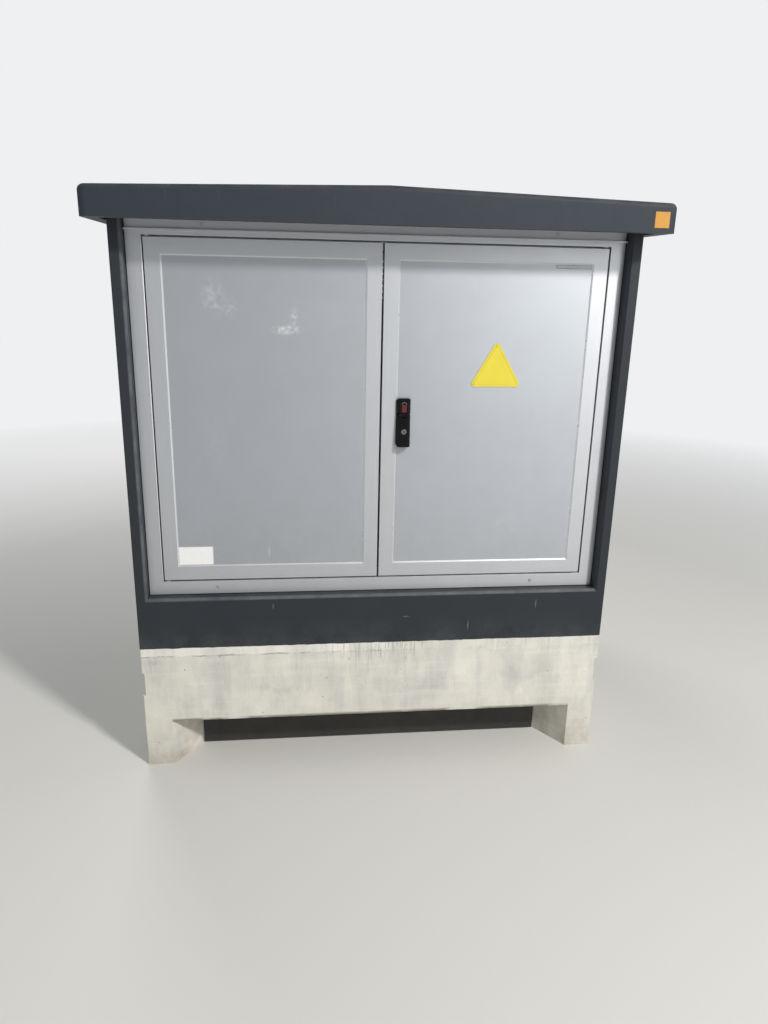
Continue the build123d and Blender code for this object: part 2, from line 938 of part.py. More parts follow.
def make_lever():
    """The wedge-shaped grip with bevelled sides, two ears for the cross pin and a bore for the lock."""
    x0, x1 = handle_x - lever_w / 2, handle_x + lever_w / 2
    low = handle_bottom + head_margin
    side = Polygon((lever_back, low), (lever_back, lever_pivot_z), (hub_front, lever_pivot_z),
                   (lever_front_at(low), low), align=None)
    body = Pos(x0, 0, 0) * extrude(Plane.YZ * side, lever_w)
    long_edges = body.faces().sort_by(Axis.Y)[0].edges().filter_by(lambda e: e.length > lever_w + 1)
    body = chamfer(long_edges, side_bevel)
    ears = rod_along_x(lever_pivot_y, lever_pivot_z, x0 + ear_inset, x1 - ear_inset, 2 * ear_r())
    body = body + ears
    slot = tongue_w + 2 * ear_play
    top = lever_pivot_z + ear_r()
    body -= block(handle_x - slot / 2, handle_x + slot / 2, hub_front - lever_wedge, lever_back + 1,
                  lever_pivot_z - 10, top + 1)
    body -= rod_along_x(lever_pivot_y, lever_pivot_z, handle_x - lever_w, handle_x + lever_w,
                        lever_pin_d + 2 * pivot_play)
    z = cylinder_z()
    return body - rod_along_y(handle_x, z, lever_front_at(low) - 1, lever_back + 1, cylinder_d)


def cylinder_z():
    """Height of the lock cylinder in the lever."""
    return handle_top - cylinder_z_drop


def cylinder_front():
    """Front of the lock cylinder, a little proud of the lever."""
    return lever_front_at(cylinder_z()) - cylinder_out


def make_lock_cylinder():
    """The fixed sleeve of the lock, flush with the back of the lever."""
    sleeve = rod_along_y(handle_x, cylinder_z(), cylinder_front(), lever_back, cylinder_d)
    return sleeve - rod_along_y(handle_x, cylinder_z(), cylinder_front() - 1, lever_back - 3,
                                plug_d + 2 * pivot_play)


def make_key_plug():
    """The turning plug with its key slot."""
    y0 = cylinder_front() + plug_sunk
    plug = rod_along_y(handle_x, cylinder_z(), y0, lever_back - 3 - plug_sunk, plug_d)
    slot = block(handle_x - key_slot_w / 2, handle_x + key_slot_w / 2, y0 - 1, y0 + 10,
                 cylinder_z() - 4, cylinder_z() + 4)
    return plug - slot


def make_lock_case():
    """A flat box on the back of the stile round the pinion and the ends of the rods."""
    x0 = rod_x - 14
    x1 = x0 + case_w
    z0, z1 = hub_z - case_h / 2, hub_z + case_h / 2
    y0, y1 = case_front, case_front + case_depth
    shell = block(x0, x1, y0, y1, z0, z1)
    shell -= block(x0 + case_t, x1 - case_t, y0 + case_t, y1 - case_t, z0 + case_t, z1 - case_t)
    shell -= rod_z(rod_x, rod_y, z0 - 1, z1 + 1, rod_d + 2 * guide_play)
    return shell - rod_along_y(handle_x, hub_z, y0 - 1, y0 + case_t + 1, spindle_d + 2 * spindle_play)


def rack_offset():
    """Distance from the pinion's middle to the middle of a rack."""
    return pinion_d / 2 + rack_play + rack_t / 2


def make_lock_rods():
    """Upper and lower rod; each ends in a cranked plate with a rack beside the pinion."""
    upper_end = clear_top - stop_lip - rod_end_play
    lower_end = sill_z + stop_lip + rod_end_play
    near = handle_x - rack_offset()
    far = handle_x + rack_offset()
    jog_up = hub_z + rack_reach
    jog_down = hub_z - rack_reach - rack_jog_h
    y0, y1 = rod_y - rod_d / 2, rod_y + rod_d / 2
    upper = rod_z(rod_x, rod_y, jog_up, upper_end, rod_d)
    upper += block(rod_x, near + rack_t / 2, y0, y1, jog_up, jog_up + rack_jog_h)
    upper += block(near - rack_t / 2, near + rack_t / 2, y0, y1, hub_z - rack_overlap, jog_up + rack_jog_h)
    lower = rod_z(rod_x, rod_y, lower_end, jog_down + rack_jog_h, rod_d)
    lower += block(rod_x, far + rack_t / 2, y0, y1, jog_down, jog_down + rack_jog_h)
    lower += block(far - rack_t / 2, far + rack_t / 2, y0, y1, jog_down, hub_z + rack_overlap)
    return upper, lower


def rod_guide_heights():
    """Heights of the guides of the lock rods on the active leaf."""
    low, high = leaf_bottom + rod_guide_end, leaf_top - rod_guide_end
    return [low, low + rod_guide_step, high - rod_guide_step, high]


def bolt_guide_heights():
    """Heights of the guides of the shoot bolts on the passive leaf."""
    low, high = leaf_bottom + bolt_guide_end, leaf_top - bolt_guide_end
    return [low, low + bolt_guide_step, high - bolt_guide_step, high]


def make_shoot_bolts():
    """Two hand bolts on the passive leaf, drawn back, each with a knob to push."""
    x = -shoot_bolt_x
    high_end = clear_top - stop_lip - rod_end_play
    low_end = sill_z + stop_lip + rod_end_play
    bolts = []
    for z0, z1, knob in ((high_end - shoot_bolt_length, high_end, high_end - shoot_bolt_length / 2 - 5),
                         (low_end, low_end + shoot_bolt_length, low_end + shoot_bolt_length / 2 + 5)):
        bolt = rod_z(x, rod_y, z0, z1, rod_d)
        bolt += rod_along_y(x, knob, rod_y, rod_y + 22, rod_d)
        bolts.append(bolt)
    return bolts


# Plates and stickers

def make_sign():
    """A blank triangular plate with rounded corners and its three rivets."""
    h = sign_side * sqrt(3) / 2
    corners = Polygon((sign_x - sign_side / 2, sign_z), (sign_x + sign_side / 2, sign_z),
                      (sign_x, sign_z + h), align=None)
    shape = fillet(corners.vertices(), sign_corner_r)
    plate = Pos(0, panel_front, 0) * (Plane.XZ * shape)
    plate = extrude(plate, sign_t, dir=(0, -1, 0))
    middle_z = sign_z + h / 3
    reach = 2 * h / 3 - sign_corner_r - rivet_inset / 2
    for turn in (90, 210, 330):
        x, z = sign_x + reach * cos(radians(turn)), middle_z + reach * sin(radians(turn))
        plate += rod_along_y(x, z, panel_front - sign_t - rivet_h, panel_front - sign_t + 0.5, rivet_d)
    return plate


def make_label():
    """A blank label in the lower left corner of the left panel."""
    x0 = -(leaf_outer - leaf_face) + label_gap
    z0 = leaf_bottom + leaf_face + 1
    return block(x0, x0 + label_w, panel_front - label_t, panel_front, z0, z0 + label_h)


def make_name_strip():
    """A blank strip in the upper right corner of the right panel."""
    x1 = leaf_outer - leaf_face - 1
    z1 = leaf_top - leaf_face - 1
    return block(x1 - strip_w, x1, panel_front - strip_t, panel_front, z1 - strip_h, z1)


def make_roof_marker():
    """A blank amber square near the right end of the fascia."""
    y1 = -roof_half_d
    z0 = roof_bottom + marker_up
    return block(marker_x - marker_side / 2, marker_x + marker_side / 2, y1 - marker_t, y1,
                 z0, z0 + marker_side)


# Cable entry plate

def entry_bolt_xs():
    """Where the bolts of the entry plate stand."""
    reach = niche_half_back - 60
    return [-reach, -reach / 3, reach / 3, reach]


def entry_bolt_z():
    """Height of the bolts of the entry plate."""
    return niche_h - entry_plate_lap - 6


def make_entry_plate():
    """The removable plate that closes the cable window, with its bolts."""
    y0, y1 = room_front - entry_plate_t, room_front
    half = niche_half_back - entry_plate_gap
    plate = block(-half, half, y0, y1, entry_plate_gap, niche_h - entry_plate_gap)
    pieces = []
    for x in entry_bolt_xs():
        z = entry_bolt_z()
        plate -= rod_along_y(x, z, y0 - 1, y1 + 1, screw_d + 2 * screw_play)
        bolt = rod_along_y(x, z, y0, room_front + 30, screw_d)
        head = Pos(x, y0, z) * Rot(90, 0, 0) * RegularPolygon(screw_d * 0.85, 6)
        pieces.append(bolt + extrude(head, screw_d * 0.6, dir=(0, -1, 0)))
    return [plate] + pieces


# Rear louvres

def louvre(z):
    """One louvre: a rim on the wall, a sheet frame through it and sloping slats."""
    w, h = louvre_w / 2, louvre_h
    rim = block(-w - louvre_rim, w + louvre_rim, hd, hd + louvre_t, z - louvre_rim, z + h + louvre_rim)
    tube = block(-w, w, room_rear, hd + louvre_t, z, z + h)
    s = louvre_sheet
    unit = rim + tube - block(-w + s, w - s, room_rear - 1, hd + louvre_t + 1, z + s, z + h - s)
    pitch = h / louvre_slat_count
    for i in range(louvre_slat_count):
        slat = Pos(0, hd - louvre_slat_w / 2, z + pitch * (i + 0.5)) * Rot(-louvre_slat_tilt, 0, 0) * Box(
            louvre_w - s, louvre_slat_w, s)
        unit += slat
    return unit


# Floor, earth bar

def make_floor_plates():
    """Two steel plates over the cable space, each with a slot for the cables."""
    plates = []
    y0, y1 = room_front + 2, sump_front - 2
    for side in (-1, 1):
        x0, x1 = sorted((side * 2, side * (room_half - 2)))
        plate = block(x0, x1, y0, y1, floor_under, floor_top)
        mid = (x0 + x1) / 2
        plate -= block(mid - floor_slot_w / 2, mid + floor_slot_w / 2, equipment_y + floor_slot_front,
                       y1 - floor_slot_back, floor_under - 1, floor_top + 1)
        plates.append(plate)
    return plates


def make_earth_bar():
    """A drilled bar on two feet on the right wall of the cable space."""
    x1 = room_half
    x0 = x1 - earth_foot - earth_t
    y_mid = (room_front + sump_front) / 2
    y0, y1 = y_mid - earth_length / 2, y_mid + earth_length / 2
    bar = block(x0, x0 + earth_t, y0, y1, earth_z, earth_z + earth_w)
    for y in evenly(y0 + earth_end, y1 - earth_end, earth_hole_count):
        bar -= rod_along_x(y, earth_z + earth_w / 2, x0 - 1, x0 + earth_t + 1, 2 * earth_hole_r)
    for y in (y0, y1 - 20):
        bar += block(x0 + earth_t, x1, y, y + 20, earth_z + 5, earth_z + earth_w - 5)
    return bar


# Transformer

def make_tank():
    """Tank with cooling fins on both long sides, on two channel skids."""
    z0 = pedestal_top + skid_h
    y0, y1 = bay_mid - tank_d / 2, bay_mid + tank_d / 2
    tank = block(-tank_w / 2, tank_w / 2, y0, y1, z0, tank_top)
    pitch = (tank_w - fin_t) / (fin_count - 1)
    fin_z = z0 + (tank_h - fin_h) / 2
    for i in range(fin_count):
        x = -tank_w / 2 + i * pitch
        tank += block(x, x + fin_t, y0 - fin_out, y1 + fin_out, fin_z, fin_z + fin_h)
    for side in (-1, 1):
        y = bay_mid + side * skid_y
        half = skid_length / 2
        channel = block(-half, half, y - skid_w / 2, y + skid_w / 2, pedestal_top, z0)
        w = skid_wall
        mouth = y + side * w
        channel -= block(-half - 1, half + 1, mouth - skid_w / 2, mouth + skid_w / 2,
                         pedestal_top + w, z0 - w)
        tank += channel
    return tank


def make_tank_lid():
    """The bolted lid with its rim of bolts, two lifting lugs, the filler and the tap boss."""
    half_w, half_d = tank_w / 2 + lid_over, tank_d / 2 + lid_over
    lid = block(-half_w, half_w, bay_mid - half_d, bay_mid + half_d, tank_top, lid_top)
    inset = lid_over / 2
    xs = evenly(-half_w + inset, half_w - inset, long_bolt_count)
    ys = evenly(bay_mid - half_d + inset, bay_mid + half_d - inset, short_bolt_count)
    rim = {(x, y) for x in xs for y in (ys[0], ys[-1])} | {(x, y) for y in ys for x in (xs[0], xs[-1])}
    for x, y in sorted(rim):
        lid += Pos(x, y, lid_top) * extrude(RegularPolygon(lid_bolt_d * 0.6, 6), lid_bolt_h)
    for x in (-tank_w / 2 + 60, tank_w / 2 - 60):
        lug = block(x - lug_t / 2, x + lug_t / 2, bay_mid - 30, bay_mid + 30, lid_top - 1, lid_top + lug_h)
        lid += lug - rod_along_x(bay_mid, lid_top + lug_h - 25, x - lug_t, x + lug_t, 30)
    lid += rod_z(half_w - filler_in, bay_mid, lid_top - 1, lid_top + filler_h, filler_d)
    lid += rod_z(tap_x, bay_mid, lid_top - 1, lid_top + tap_boss_h, tap_boss_d)
    return lid - rod_z(tap_x, bay_mid, lid_top - 5, lid_top + tap_boss_h + 1, tap_spindle_d + 2 * pivot_play)


def make_hv_bushings():
    """Three tapered plug-in bushings in a row."""
    z, pieces = lid_top, []
    for i in (-1, 0, 1):
        x, y = i * hv_bushing_pitch - bushings_left, bay_mid + hv_bushing_back
        flange = rod_z(x, y, z, z + hv_flange_t, hv_flange_d)
        cone_top = z + hv_flange_t + hv_cone_h
        cone = Pos(x, y, cone_top - hv_cone_h / 2) * Cone(hv_cone_d / 2, hv_cone_tip_d / 2, hv_cone_h)
        tip = rod_z(x, y, cone_top, cone_top + hv_tip_h, hv_tip_d)
        pieces.append(flange + cone + tip)
    return pieces


def make_lv_bushings():
    """Four ribbed bushings, each with a drilled terminal flag."""
    z, pieces = lid_top, []
    for i in range(4):
        x, y = (i - 1.5) * lv_bushing_pitch - bushings_left, bay_mid - lv_bushing_front
        body_top = z + lv_body_h
        body = rod_z(x, y, z, body_top, lv_body_d)
        for low in evenly(z + lv_rib_low, body_top - lv_rib_low - lv_rib_t, 3):
            body += rod_z(x, y, low, low + lv_rib_t, lv_rib_d)
        flag = block(x - lv_flag_w / 2, x + lv_flag_w / 2, y - lv_flag_t / 2, y + lv_flag_t / 2,
                     body_top - 1, body_top + lv_flag_h)
        for down in (lv_hole_down, lv_hole_down + lv_hole_pitch):
            flag -= rod_along_y(x, body_top + lv_flag_h - down, y - lv_flag_t, y + lv_flag_t, lv_hole_d)
        pieces.append(body + flag)
    return pieces


def make_tap_knob():
    """The knob of the tap changer, with a grip bar and its spindle."""
    z = lid_top + tap_boss_h
    knob = rod_z(tap_x, bay_mid, z + 0.3, z + tap_knob_h, tap_knob_d)
    knob = fillet(knob.faces().sort_by(Axis.Z)[-1].edges(), 3)
    grip = block(tap_x - tap_knob_d / 2 + 4, tap_x + tap_knob_d / 2 - 4, bay_mid - 6, bay_mid + 6,
                 z + tap_knob_h - 1, z + tap_knob_h + 14)
    return knob + grip + rod_z(tap_x, bay_mid, z - tap_boss_h, z + 1, tap_spindle_d)


# High-voltage switchgear

def cabinet_box():
    """Left, right, front and back of the cabinet."""
    x0 = -cabinet_left
    return x0, x0 + cabinet_w, equipment_y, sump_back - cabinet_back


def hv_plug_places():
    """Middle of each of the six cable plugs under the gas tank, in two groups of three."""
    x0, x1, y0, y1 = cabinet_box()
    y = (y0 + y1) / 2
    return [((x0 + x1) / 2 + s * shaft_x + i * hv_plug_pitch * 0.8, y) for s in (-1, 1) for i in (-1, 0, 1)]


def make_cabinet():
    """A sheet cabinet, open in front and over the cable slot, with a sealed gas tank on its shelf."""
    x0, x1, y0, y1 = cabinet_box()
    t, z0, z1 = cabinet_t, floor_top, floor_top + cabinet_h
    shell = block(x0, x1, y0, y1, z0, z1)
    shell -= block(x0 + t, x1 - t, y0 - 1, y1 - t, z0 + t, z1 - t)
    shelf_z = z0 + cover_h
    shell += block(x0 + t / 2, x1 - t / 2, y0, y1 - t / 2, shelf_z, shelf_z + t)
    mid = (x0 + x1) / 2
    half = cabinet_slot_w / 2
    shell -= block(mid - half, mid + half, y0 + 80, y1 - 140, z0 - 1, z0 + t + 1)
    tank = block(x0 + gas_tank_gap, x1 - gas_tank_gap, y0 + gas_tank_set_back, y1 - gas_tank_gap,
                 shelf_z + t, z1 - gas_tank_top_gap)
    for x, y in hv_plug_places():
        shell -= rod_z(x, y, shelf_z - 1, shelf_z + t + 1, hv_plug_d + 2)
        tank += rod_z(x, y, shelf_z - hv_plug_h, shelf_z + t + 1, hv_plug_d)
    for x, y, z in shaft_places():
        tank -= rod_along_y(x, z, y, y + shaft_in + 1, shaft_d + 2 * spindle_play)
    return shell, tank


def shaft_places():
    """Middle of each operating shaft on the front panel."""
    x0, x1, y0, _ = cabinet_box()
    mid = (x0 + x1) / 2
    return [(mid - shaft_x, y0, floor_top + shaft_z), (mid + shaft_x, y0, floor_top + shaft_z)]


def make_front_panel():
    """The upper front with its two shaft holes and a raised round scale at each."""
    x0, x1, y0, _ = cabinet_box()
    z0, z1 = floor_top + cover_h + cover_gap, floor_top + cabinet_h
    panel = block(x0, x1, y0 - cabinet_t, y0, z0, z1)
    for x, y, z in shaft_places():
        panel += rod_along_y(x, z, y - cabinet_t - 3, y, shaft_knob_d + 30)
        panel -= rod_along_y(x, z, y - 20, y + 1, shaft_d + 2 * spindle_play)
    return panel


def make_cable_cover():
    """The lift-off cover of the cable space, with a folded grip along its top."""
    x0, x1, y0, _ = cabinet_box()
    z0, z1 = floor_top + cover_gap, floor_top + cover_h - cover_gap
    cover = block(x0, x1, y0 - cabinet_t, y0, z0, z1)
    mid = (x0 + x1) / 2
    grip = cover_grip_w / 2
    return cover + block(mid - grip, mid + grip, y0 - cabinet_t - cover_grip_out, y0 - cabinet_t,
                         z1 - 60, z1 - 54)


def make_shaft(place):
    """One operating shaft with its knob and grip bar."""
    x, y, z = place
    out = y - cabinet_t - 3.3
    shaft = rod_along_y(x, z, out - 1, y + shaft_in, shaft_d)
    knob = rod_along_y(x, z, out - shaft_knob_h, out, shaft_knob_d)
    knob = fillet(knob.faces().sort_by(Axis.Y)[0].edges(), 2)
    grip = block(x - 7, x + 7, out - shaft_knob_h - 14, out - shaft_knob_h + 1,
                 z - shaft_knob_d / 2 + 4, z + shaft_knob_d / 2 - 4)
    return shaft + knob + grip


# Low-voltage rack

def rack_y():
    """Front of the posts of the rack."""
    return equipment_y + rack_set_back


def make_rack():
    """Two posts on feet with a top and a bottom rail."""
    x0, x1, y, p = rack_left, rack_left + rack_w, rack_y(), rack_post
    z0, z1 = floor_top, floor_top + rack_h
    posts = block(x0, x0 + p, y, y + p, z0, z1) + block(x1 - p, x1, y, y + p, z0, z1)
    z_rail = z0 + rack_rail_up
    rails = block(x0, x1, y, y + p, z_rail, z_rail + p) + block(x0, x1, y, y + p, z1 - p, z1)
    y0, y1, z_foot = y - rack_foot_front, y + rack_foot_back, z0 + rack_foot_t
    feet = block(x0, x0 + p, y0, y1, z0, z_foot) + block(x1 - p, x1, y0, y1, z0, z_foot)
    return posts + rails + feet


def bar_heights():
    """Lower edge of each of the three phase bars and the neutral bar."""
    z = floor_top + bar_z
    return [z + i * bar_pitch for i in range(3)] + [z - neutral_drop]


def make_busbars():
    """Three phase bars and a neutral bar across the fronts of the posts."""
    y = rack_y()
    x0, x1 = rack_left + bar_inset, rack_left + rack_w - bar_inset
    return [block(x0, x1, y - bar_t, y, z, z + bar_h) for z in bar_heights()]


def fuse_middles():
    """Middle of each fuse switch across the rack."""
    mid = rack_left + rack_w / 2
    return [mid + (i - (fuse_count - 1) / 2) * fuse_pitch for i in range(fuse_count)]


def fuse_bottom():
    """Lower edge of the fuse switches, centred on the phase bars."""
    z = bar_heights()
    return (z[0] + z[2] + bar_h) / 2 - fuse_h / 2


def lid_pin_place():
    """Depth and height of the hinge pin of a fuse lid."""
    y = rack_y() - bar_t - fuse_d - lid_gap - lid_pin_d
    return y, fuse_bottom() + 14


def make_fuse_base(x):
    """A fuse switch body with three contact wells and two ears for the lid's pin."""
    y1 = rack_y() - bar_t
    y0, z0 = y1 - fuse_d, fuse_bottom()
    base = block(x - fuse_w / 2, x + fuse_w / 2, y0, y1, z0, z0 + fuse_h)
    for middle in well_middles(x):
        base -= block(middle - well_w / 2, middle + well_w / 2, y0 - 1, y0 + well_d,
                      z0 + well_low, z0 + fuse_h - well_low)
    pin_y, pin_z = lid_pin_place()
    for s in (-1, 1):
        a, b = sorted((x + s * fuse_w / 2, x + s * (lid_w / 2 + 1)))
        base += block(a, b, pin_y - lid_pin_d, y0 + 1, pin_z - 8, pin_z + 8)
    return base + rod_along_x(pin_y, pin_z, x - fuse_w / 2, x + fuse_w / 2, lid_pin_d)


def make_fuse_lid(x):
    """The hinged lid of a fuse switch: a tray with a grip, and the three fuse links it carries."""
    pin_y, pin_z = lid_pin_place()
    y1 = rack_y() - bar_t - fuse_d - lid_gap
    y0 = y1 - lid_d
    z0 = pin_z - lid_pin_d
    lid = block(x - lid_w / 2, x + lid_w / 2, y0, y1, z0, z0 + lid_h)
    hinge_edge = lid.edges().filter_by(Axis.X).sort_by(lambda e: e.center().Y - e.center().Z)[-1]
    lid = fillet(hinge_edge, lid_pin_d - 0.1)
    w = lid_wall
    lid -= block(x - lid_w / 2 + w, x + lid_w / 2 - w, y0 + w, y1 + 1, z0 + 14, z0 + lid_h - w)
    lid += block(x - 50, x + 50, y0 - 20, y0, z0 + lid_h - 34, z0 + lid_h - 24)
    lid -= rod_along_x(pin_y, pin_z, x - lid_w, x + lid_w, lid_pin_d + 2 * pivot_play)
    return [lid] + [fuse_link(well_x, y0 + w, y1 + fuse_link_in, z0 + fuse_link_up)
                    for well_x in well_middles(x)]


def well_middles(x):
    """Middle of each contact well of a fuse switch."""
    return [x - well_pitch, x, x + well_pitch]


def fuse_link(x, y0, y1, z):
    """A ceramic fuse link with a blade at each end."""
    body = block(x - fuse_link_w / 2, x + fuse_link_w / 2, y0, y1, z + 24, z + fuse_link_h - 24)
    blade = block(x - 3, x + 3, y0 + 20, y1 - 6, z, z + fuse_link_h)
    return body + blade


# Write every node

os.makedirs("parts", exist_ok=True)

save("housing", make_housing())
save("roof", make_roof())
save("roof_seal", make_roof_seal())
save("roof_anchors", *make_roof_anchors())
save("lifting_sockets", *[socket(place) for place in socket_places()])

sill, head, left_jamb, right_jamb = make_frame()
save("frame_sill", sill)
save("frame_head", head)
save("frame_jamb_left", left_jamb)
save("frame_jamb_right", right_jamb)
save("frame_screws", *[screw(way) for way in frame_screw_ways()])
save("drip_bar", make_drip_bar())
save("frame_gasket", make_gasket())
save("hinge_pins", *make_hinge_pins())

spindle_way = rod_along_y(handle_x, hub_z, panel_front - 1, panel_back + 1, spindle_d + 2 * spindle_play)
for side, leaf in (("right", make_right_leaf()), ("left", make_left_leaf())):
    for name, bar in zip(("bottom_rail", "top_rail", "lock_stile", "hinge_stile"), leaf):
        save(f"{side}_{name}", bar)
save("right_panel", make_panel() - spindle_way)
save("left_panel", mirror_x(make_panel()))
save("right_door_stay", make_stay())
save("left_door_stay", mirror_x(make_stay()))

save("handle_base", make_handle_base())
save("handle_hub", make_handle_hub())
save("handle_insert", make_handle_insert())
save("handle_lever", make_lever())
save("lock_cylinder", make_lock_cylinder())
save("key_plug", make_key_plug())
save("lock_case", make_lock_case())
upper_rod, lower_rod = make_lock_rods()
save("upper_lock_rod", upper_rod)
save("lower_lock_rod", lower_rod)
upper_bolt, lower_bolt = make_shoot_bolts()
save("upper_shoot_bolt", upper_bolt)
save("lower_shoot_bolt", lower_bolt)

save("sign_plate", make_sign())
save("info_label", make_label())
save("name_strip", make_name_strip())
save("roof_marker", make_roof_marker())
save("entry_plate", *make_entry_plate())
save("rear_louvres", louvre(louvre_low_z), louvre(louvre_high_z))

save("floor_plates", *make_floor_plates())
save("earth_bar", make_earth_bar())
save("transformer_tank", make_tank())
save("transformer_lid", make_tank_lid())
save("hv_bushings", *make_hv_bushings())
save("lv_bushings", *make_lv_bushings())
save("tap_knob", make_tap_knob())
save("switchgear_cabinet", *make_cabinet())
save("switchgear_panel", make_front_panel())
save("switchgear_cover", make_cable_cover())
for number, place in enumerate(shaft_places(), 1):
    save(f"operating_shaft_{number}", make_shaft(place))
save("lv_rack", make_rack())
save("busbars", *make_busbars())
save("fuse_bases", *[make_fuse_base(x) for x in fuse_middles()])
for number, x in enumerate(fuse_middles(), 1):
    save(f"fuse_lid_{number}", *make_fuse_lid(x))
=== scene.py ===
import json
import math
import bpy
from mathutils import Matrix, Vector


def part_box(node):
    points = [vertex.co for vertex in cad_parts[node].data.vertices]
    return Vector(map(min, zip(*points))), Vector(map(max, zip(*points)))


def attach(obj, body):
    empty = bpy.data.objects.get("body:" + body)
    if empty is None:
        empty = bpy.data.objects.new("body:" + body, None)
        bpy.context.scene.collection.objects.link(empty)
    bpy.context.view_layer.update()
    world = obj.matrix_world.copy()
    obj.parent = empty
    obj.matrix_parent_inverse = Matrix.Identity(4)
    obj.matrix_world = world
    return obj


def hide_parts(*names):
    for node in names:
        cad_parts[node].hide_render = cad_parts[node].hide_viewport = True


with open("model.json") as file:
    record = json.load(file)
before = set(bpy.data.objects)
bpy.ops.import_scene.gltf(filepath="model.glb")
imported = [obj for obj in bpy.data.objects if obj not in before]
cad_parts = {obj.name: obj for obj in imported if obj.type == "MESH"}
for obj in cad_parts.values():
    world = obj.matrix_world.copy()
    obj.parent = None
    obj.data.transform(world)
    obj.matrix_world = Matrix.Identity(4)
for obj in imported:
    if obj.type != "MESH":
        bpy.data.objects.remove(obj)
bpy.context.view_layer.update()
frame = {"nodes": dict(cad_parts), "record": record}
nodes = frame["nodes"]
record = frame["record"]
slotOf = {entry["node"]: entry["material_slot"] for entry in record["subparts"]}
bodyOf = {node: body for body, members in record["behaviour"]["bodies"].items() for node in members}
print("Frame loaded:", len(nodes), "nodes")


# Selecting, editing, rounding and dressing a piece

def clearSelection():
    if bpy.context.object and bpy.context.object.mode != "OBJECT":
        objectMode()
    for thing in list(bpy.context.selected_objects):
        thing.select_set(False)


def takeUp(piece):
    clearSelection()
    bpy.context.view_layer.objects.active = piece
    piece.select_set(True)


def settle(piece):
    takeUp(piece)
    bpy.ops.object.transform_apply(location=True, rotation=True, scale=True)


def turnedTo(piece, turn, location):
    piece.rotation_euler = turn
    piece.location = location
    settle(piece)
    return piece


def editMode(kind=None):
    bpy.ops.object.mode_set(mode="EDIT")
    if kind:
        bpy.ops.mesh.select_mode(type=kind)


def objectMode():
    bpy.ops.object.mode_set(mode="OBJECT")


def pick(piece, parts, wanted):
    for other in (piece.data.vertices, piece.data.edges, piece.data.polygons):
        other.foreach_set("select", [False] * len(other))
    for part in parts:
        part.select = bool(wanted(part))


def pickFaces(piece, wanted):
    pick(piece, piece.data.polygons, wanted)


def applyAll(piece):
    takeUp(piece)
    for modifier in [m.name for m in piece.modifiers]:
        bpy.ops.object.modifier_apply(modifier=modifier)


def roundEdges(piece, width):
    if width > 0:
        bevel = piece.modifiers.new("Rounded edges", "BEVEL")
        bevel.width = width
        bevel.segments = 2
        bevel.limit_method = "ANGLE"
        bevel.angle_limit = math.radians(32)
    applyAll(piece)
    bpy.ops.object.shade_smooth_by_angle(angle=math.radians(35))
    weighted = piece.modifiers.new("Flat faces stay flat", "WEIGHTED_NORMAL")
    weighted.keep_sharp = True
    weighted.weight = 80
    applyAll(piece)


def mergedCopy(nodeName):
    piece = bpy.data.objects.new(nodeName + "_finished", nodes[nodeName].data.copy())
    bpy.context.scene.collection.objects.link(piece)
    takeUp(piece)
    bpy.ops.mesh.customdata_custom_splitnormals_clear()
    editMode()
    bpy.ops.mesh.select_all(action="SELECT")
    bpy.ops.mesh.remove_doubles(threshold=0.00002)
    bpy.ops.mesh.dissolve_limited(angle_limit=math.radians(0.6))
    bpy.ops.mesh.select_all(action="DESELECT")
    objectMode()
    return piece


def dress(piece, body, finish):
    piece.data.materials.clear()
    piece.data.materials.append(finish)
    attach(piece, body)


# Nodes of the materials, each in the tree of the sockets that feed it

def addNode(tree, kind, **settings):
    node = tree.nodes.new(kind)
    for name, value in settings.items():
        setattr(node, name, value)
    return node


def feed(socket, source):
    if isinstance(source, bpy.types.NodeSocket):
        socket.id_data.links.new(source, socket)
    else:
        socket.default_value = source


def feedAll(kind, sockets, sources, **settings):
    tree = next(source.id_data for source in sources if isinstance(source, bpy.types.NodeSocket))
    node = addNode(tree, kind, **settings)
    for socket, source in zip(sockets, sources):
        feed(node.inputs[socket], source)
    return node.outputs


def calc(operation, first, second=0.0, clamp=False):
    return feedAll("ShaderNodeMath", (0, 1), (first, second), operation=operation, use_clamp=clamp)[0]


def plus(first, second):
    return calc("ADD", first, second)


def minus(first, second):
    return calc("SUBTRACT", first, second)


def times(first, second, clamp=False):
    return calc("MULTIPLY", first, second, clamp)


def distance(first, second):
    return calc("ABSOLUTE", minus(first, second))


def spread(value, low, high, start=0.0, end=1.0):
    return feedAll("ShaderNodeMapRange", ("Value", "From Min", "From Max", "To Min", "To Max"),
                   (value, low, high, start, end), clamp=True)["Result"]


def blendColour(factor, first, second):
    return feedAll("ShaderNodeMix", (0, 6, 7), (factor, first, second), data_type="RGBA")[2]


def tint(colour, mask, strength, other):
    return blendColour(times(mask, strength), colour, other)


def split(vector):
    return feedAll("ShaderNodeSeparateXYZ", (0,), (vector,))


def vectorMath(operation, first, second):
    given = feedAll("ShaderNodeVectorMath", (0, 1), (first, second), operation=operation)
    return given["Value" if operation in ("DOT_PRODUCT", "LENGTH") else "Vector"]


def noise(vector, scale, detail=3.0, rough=0.5, stretch=None):
    if stretch:
        vector = vectorMath("MULTIPLY", vector, stretch)
    return feedAll("ShaderNodeTexNoise", ("Vector", "Scale", "Detail", "Roughness"),
                   (vector, scale, detail, rough))["Fac"]


def cells(vector, scale):
    return feedAll("ShaderNodeTexVoronoi", ("Vector", "Scale"), (vector, scale))


def facingUp(spot):
    return split(addNode(spot.id_data, "ShaderNodeTexCoord").outputs["Normal"])["Z"]


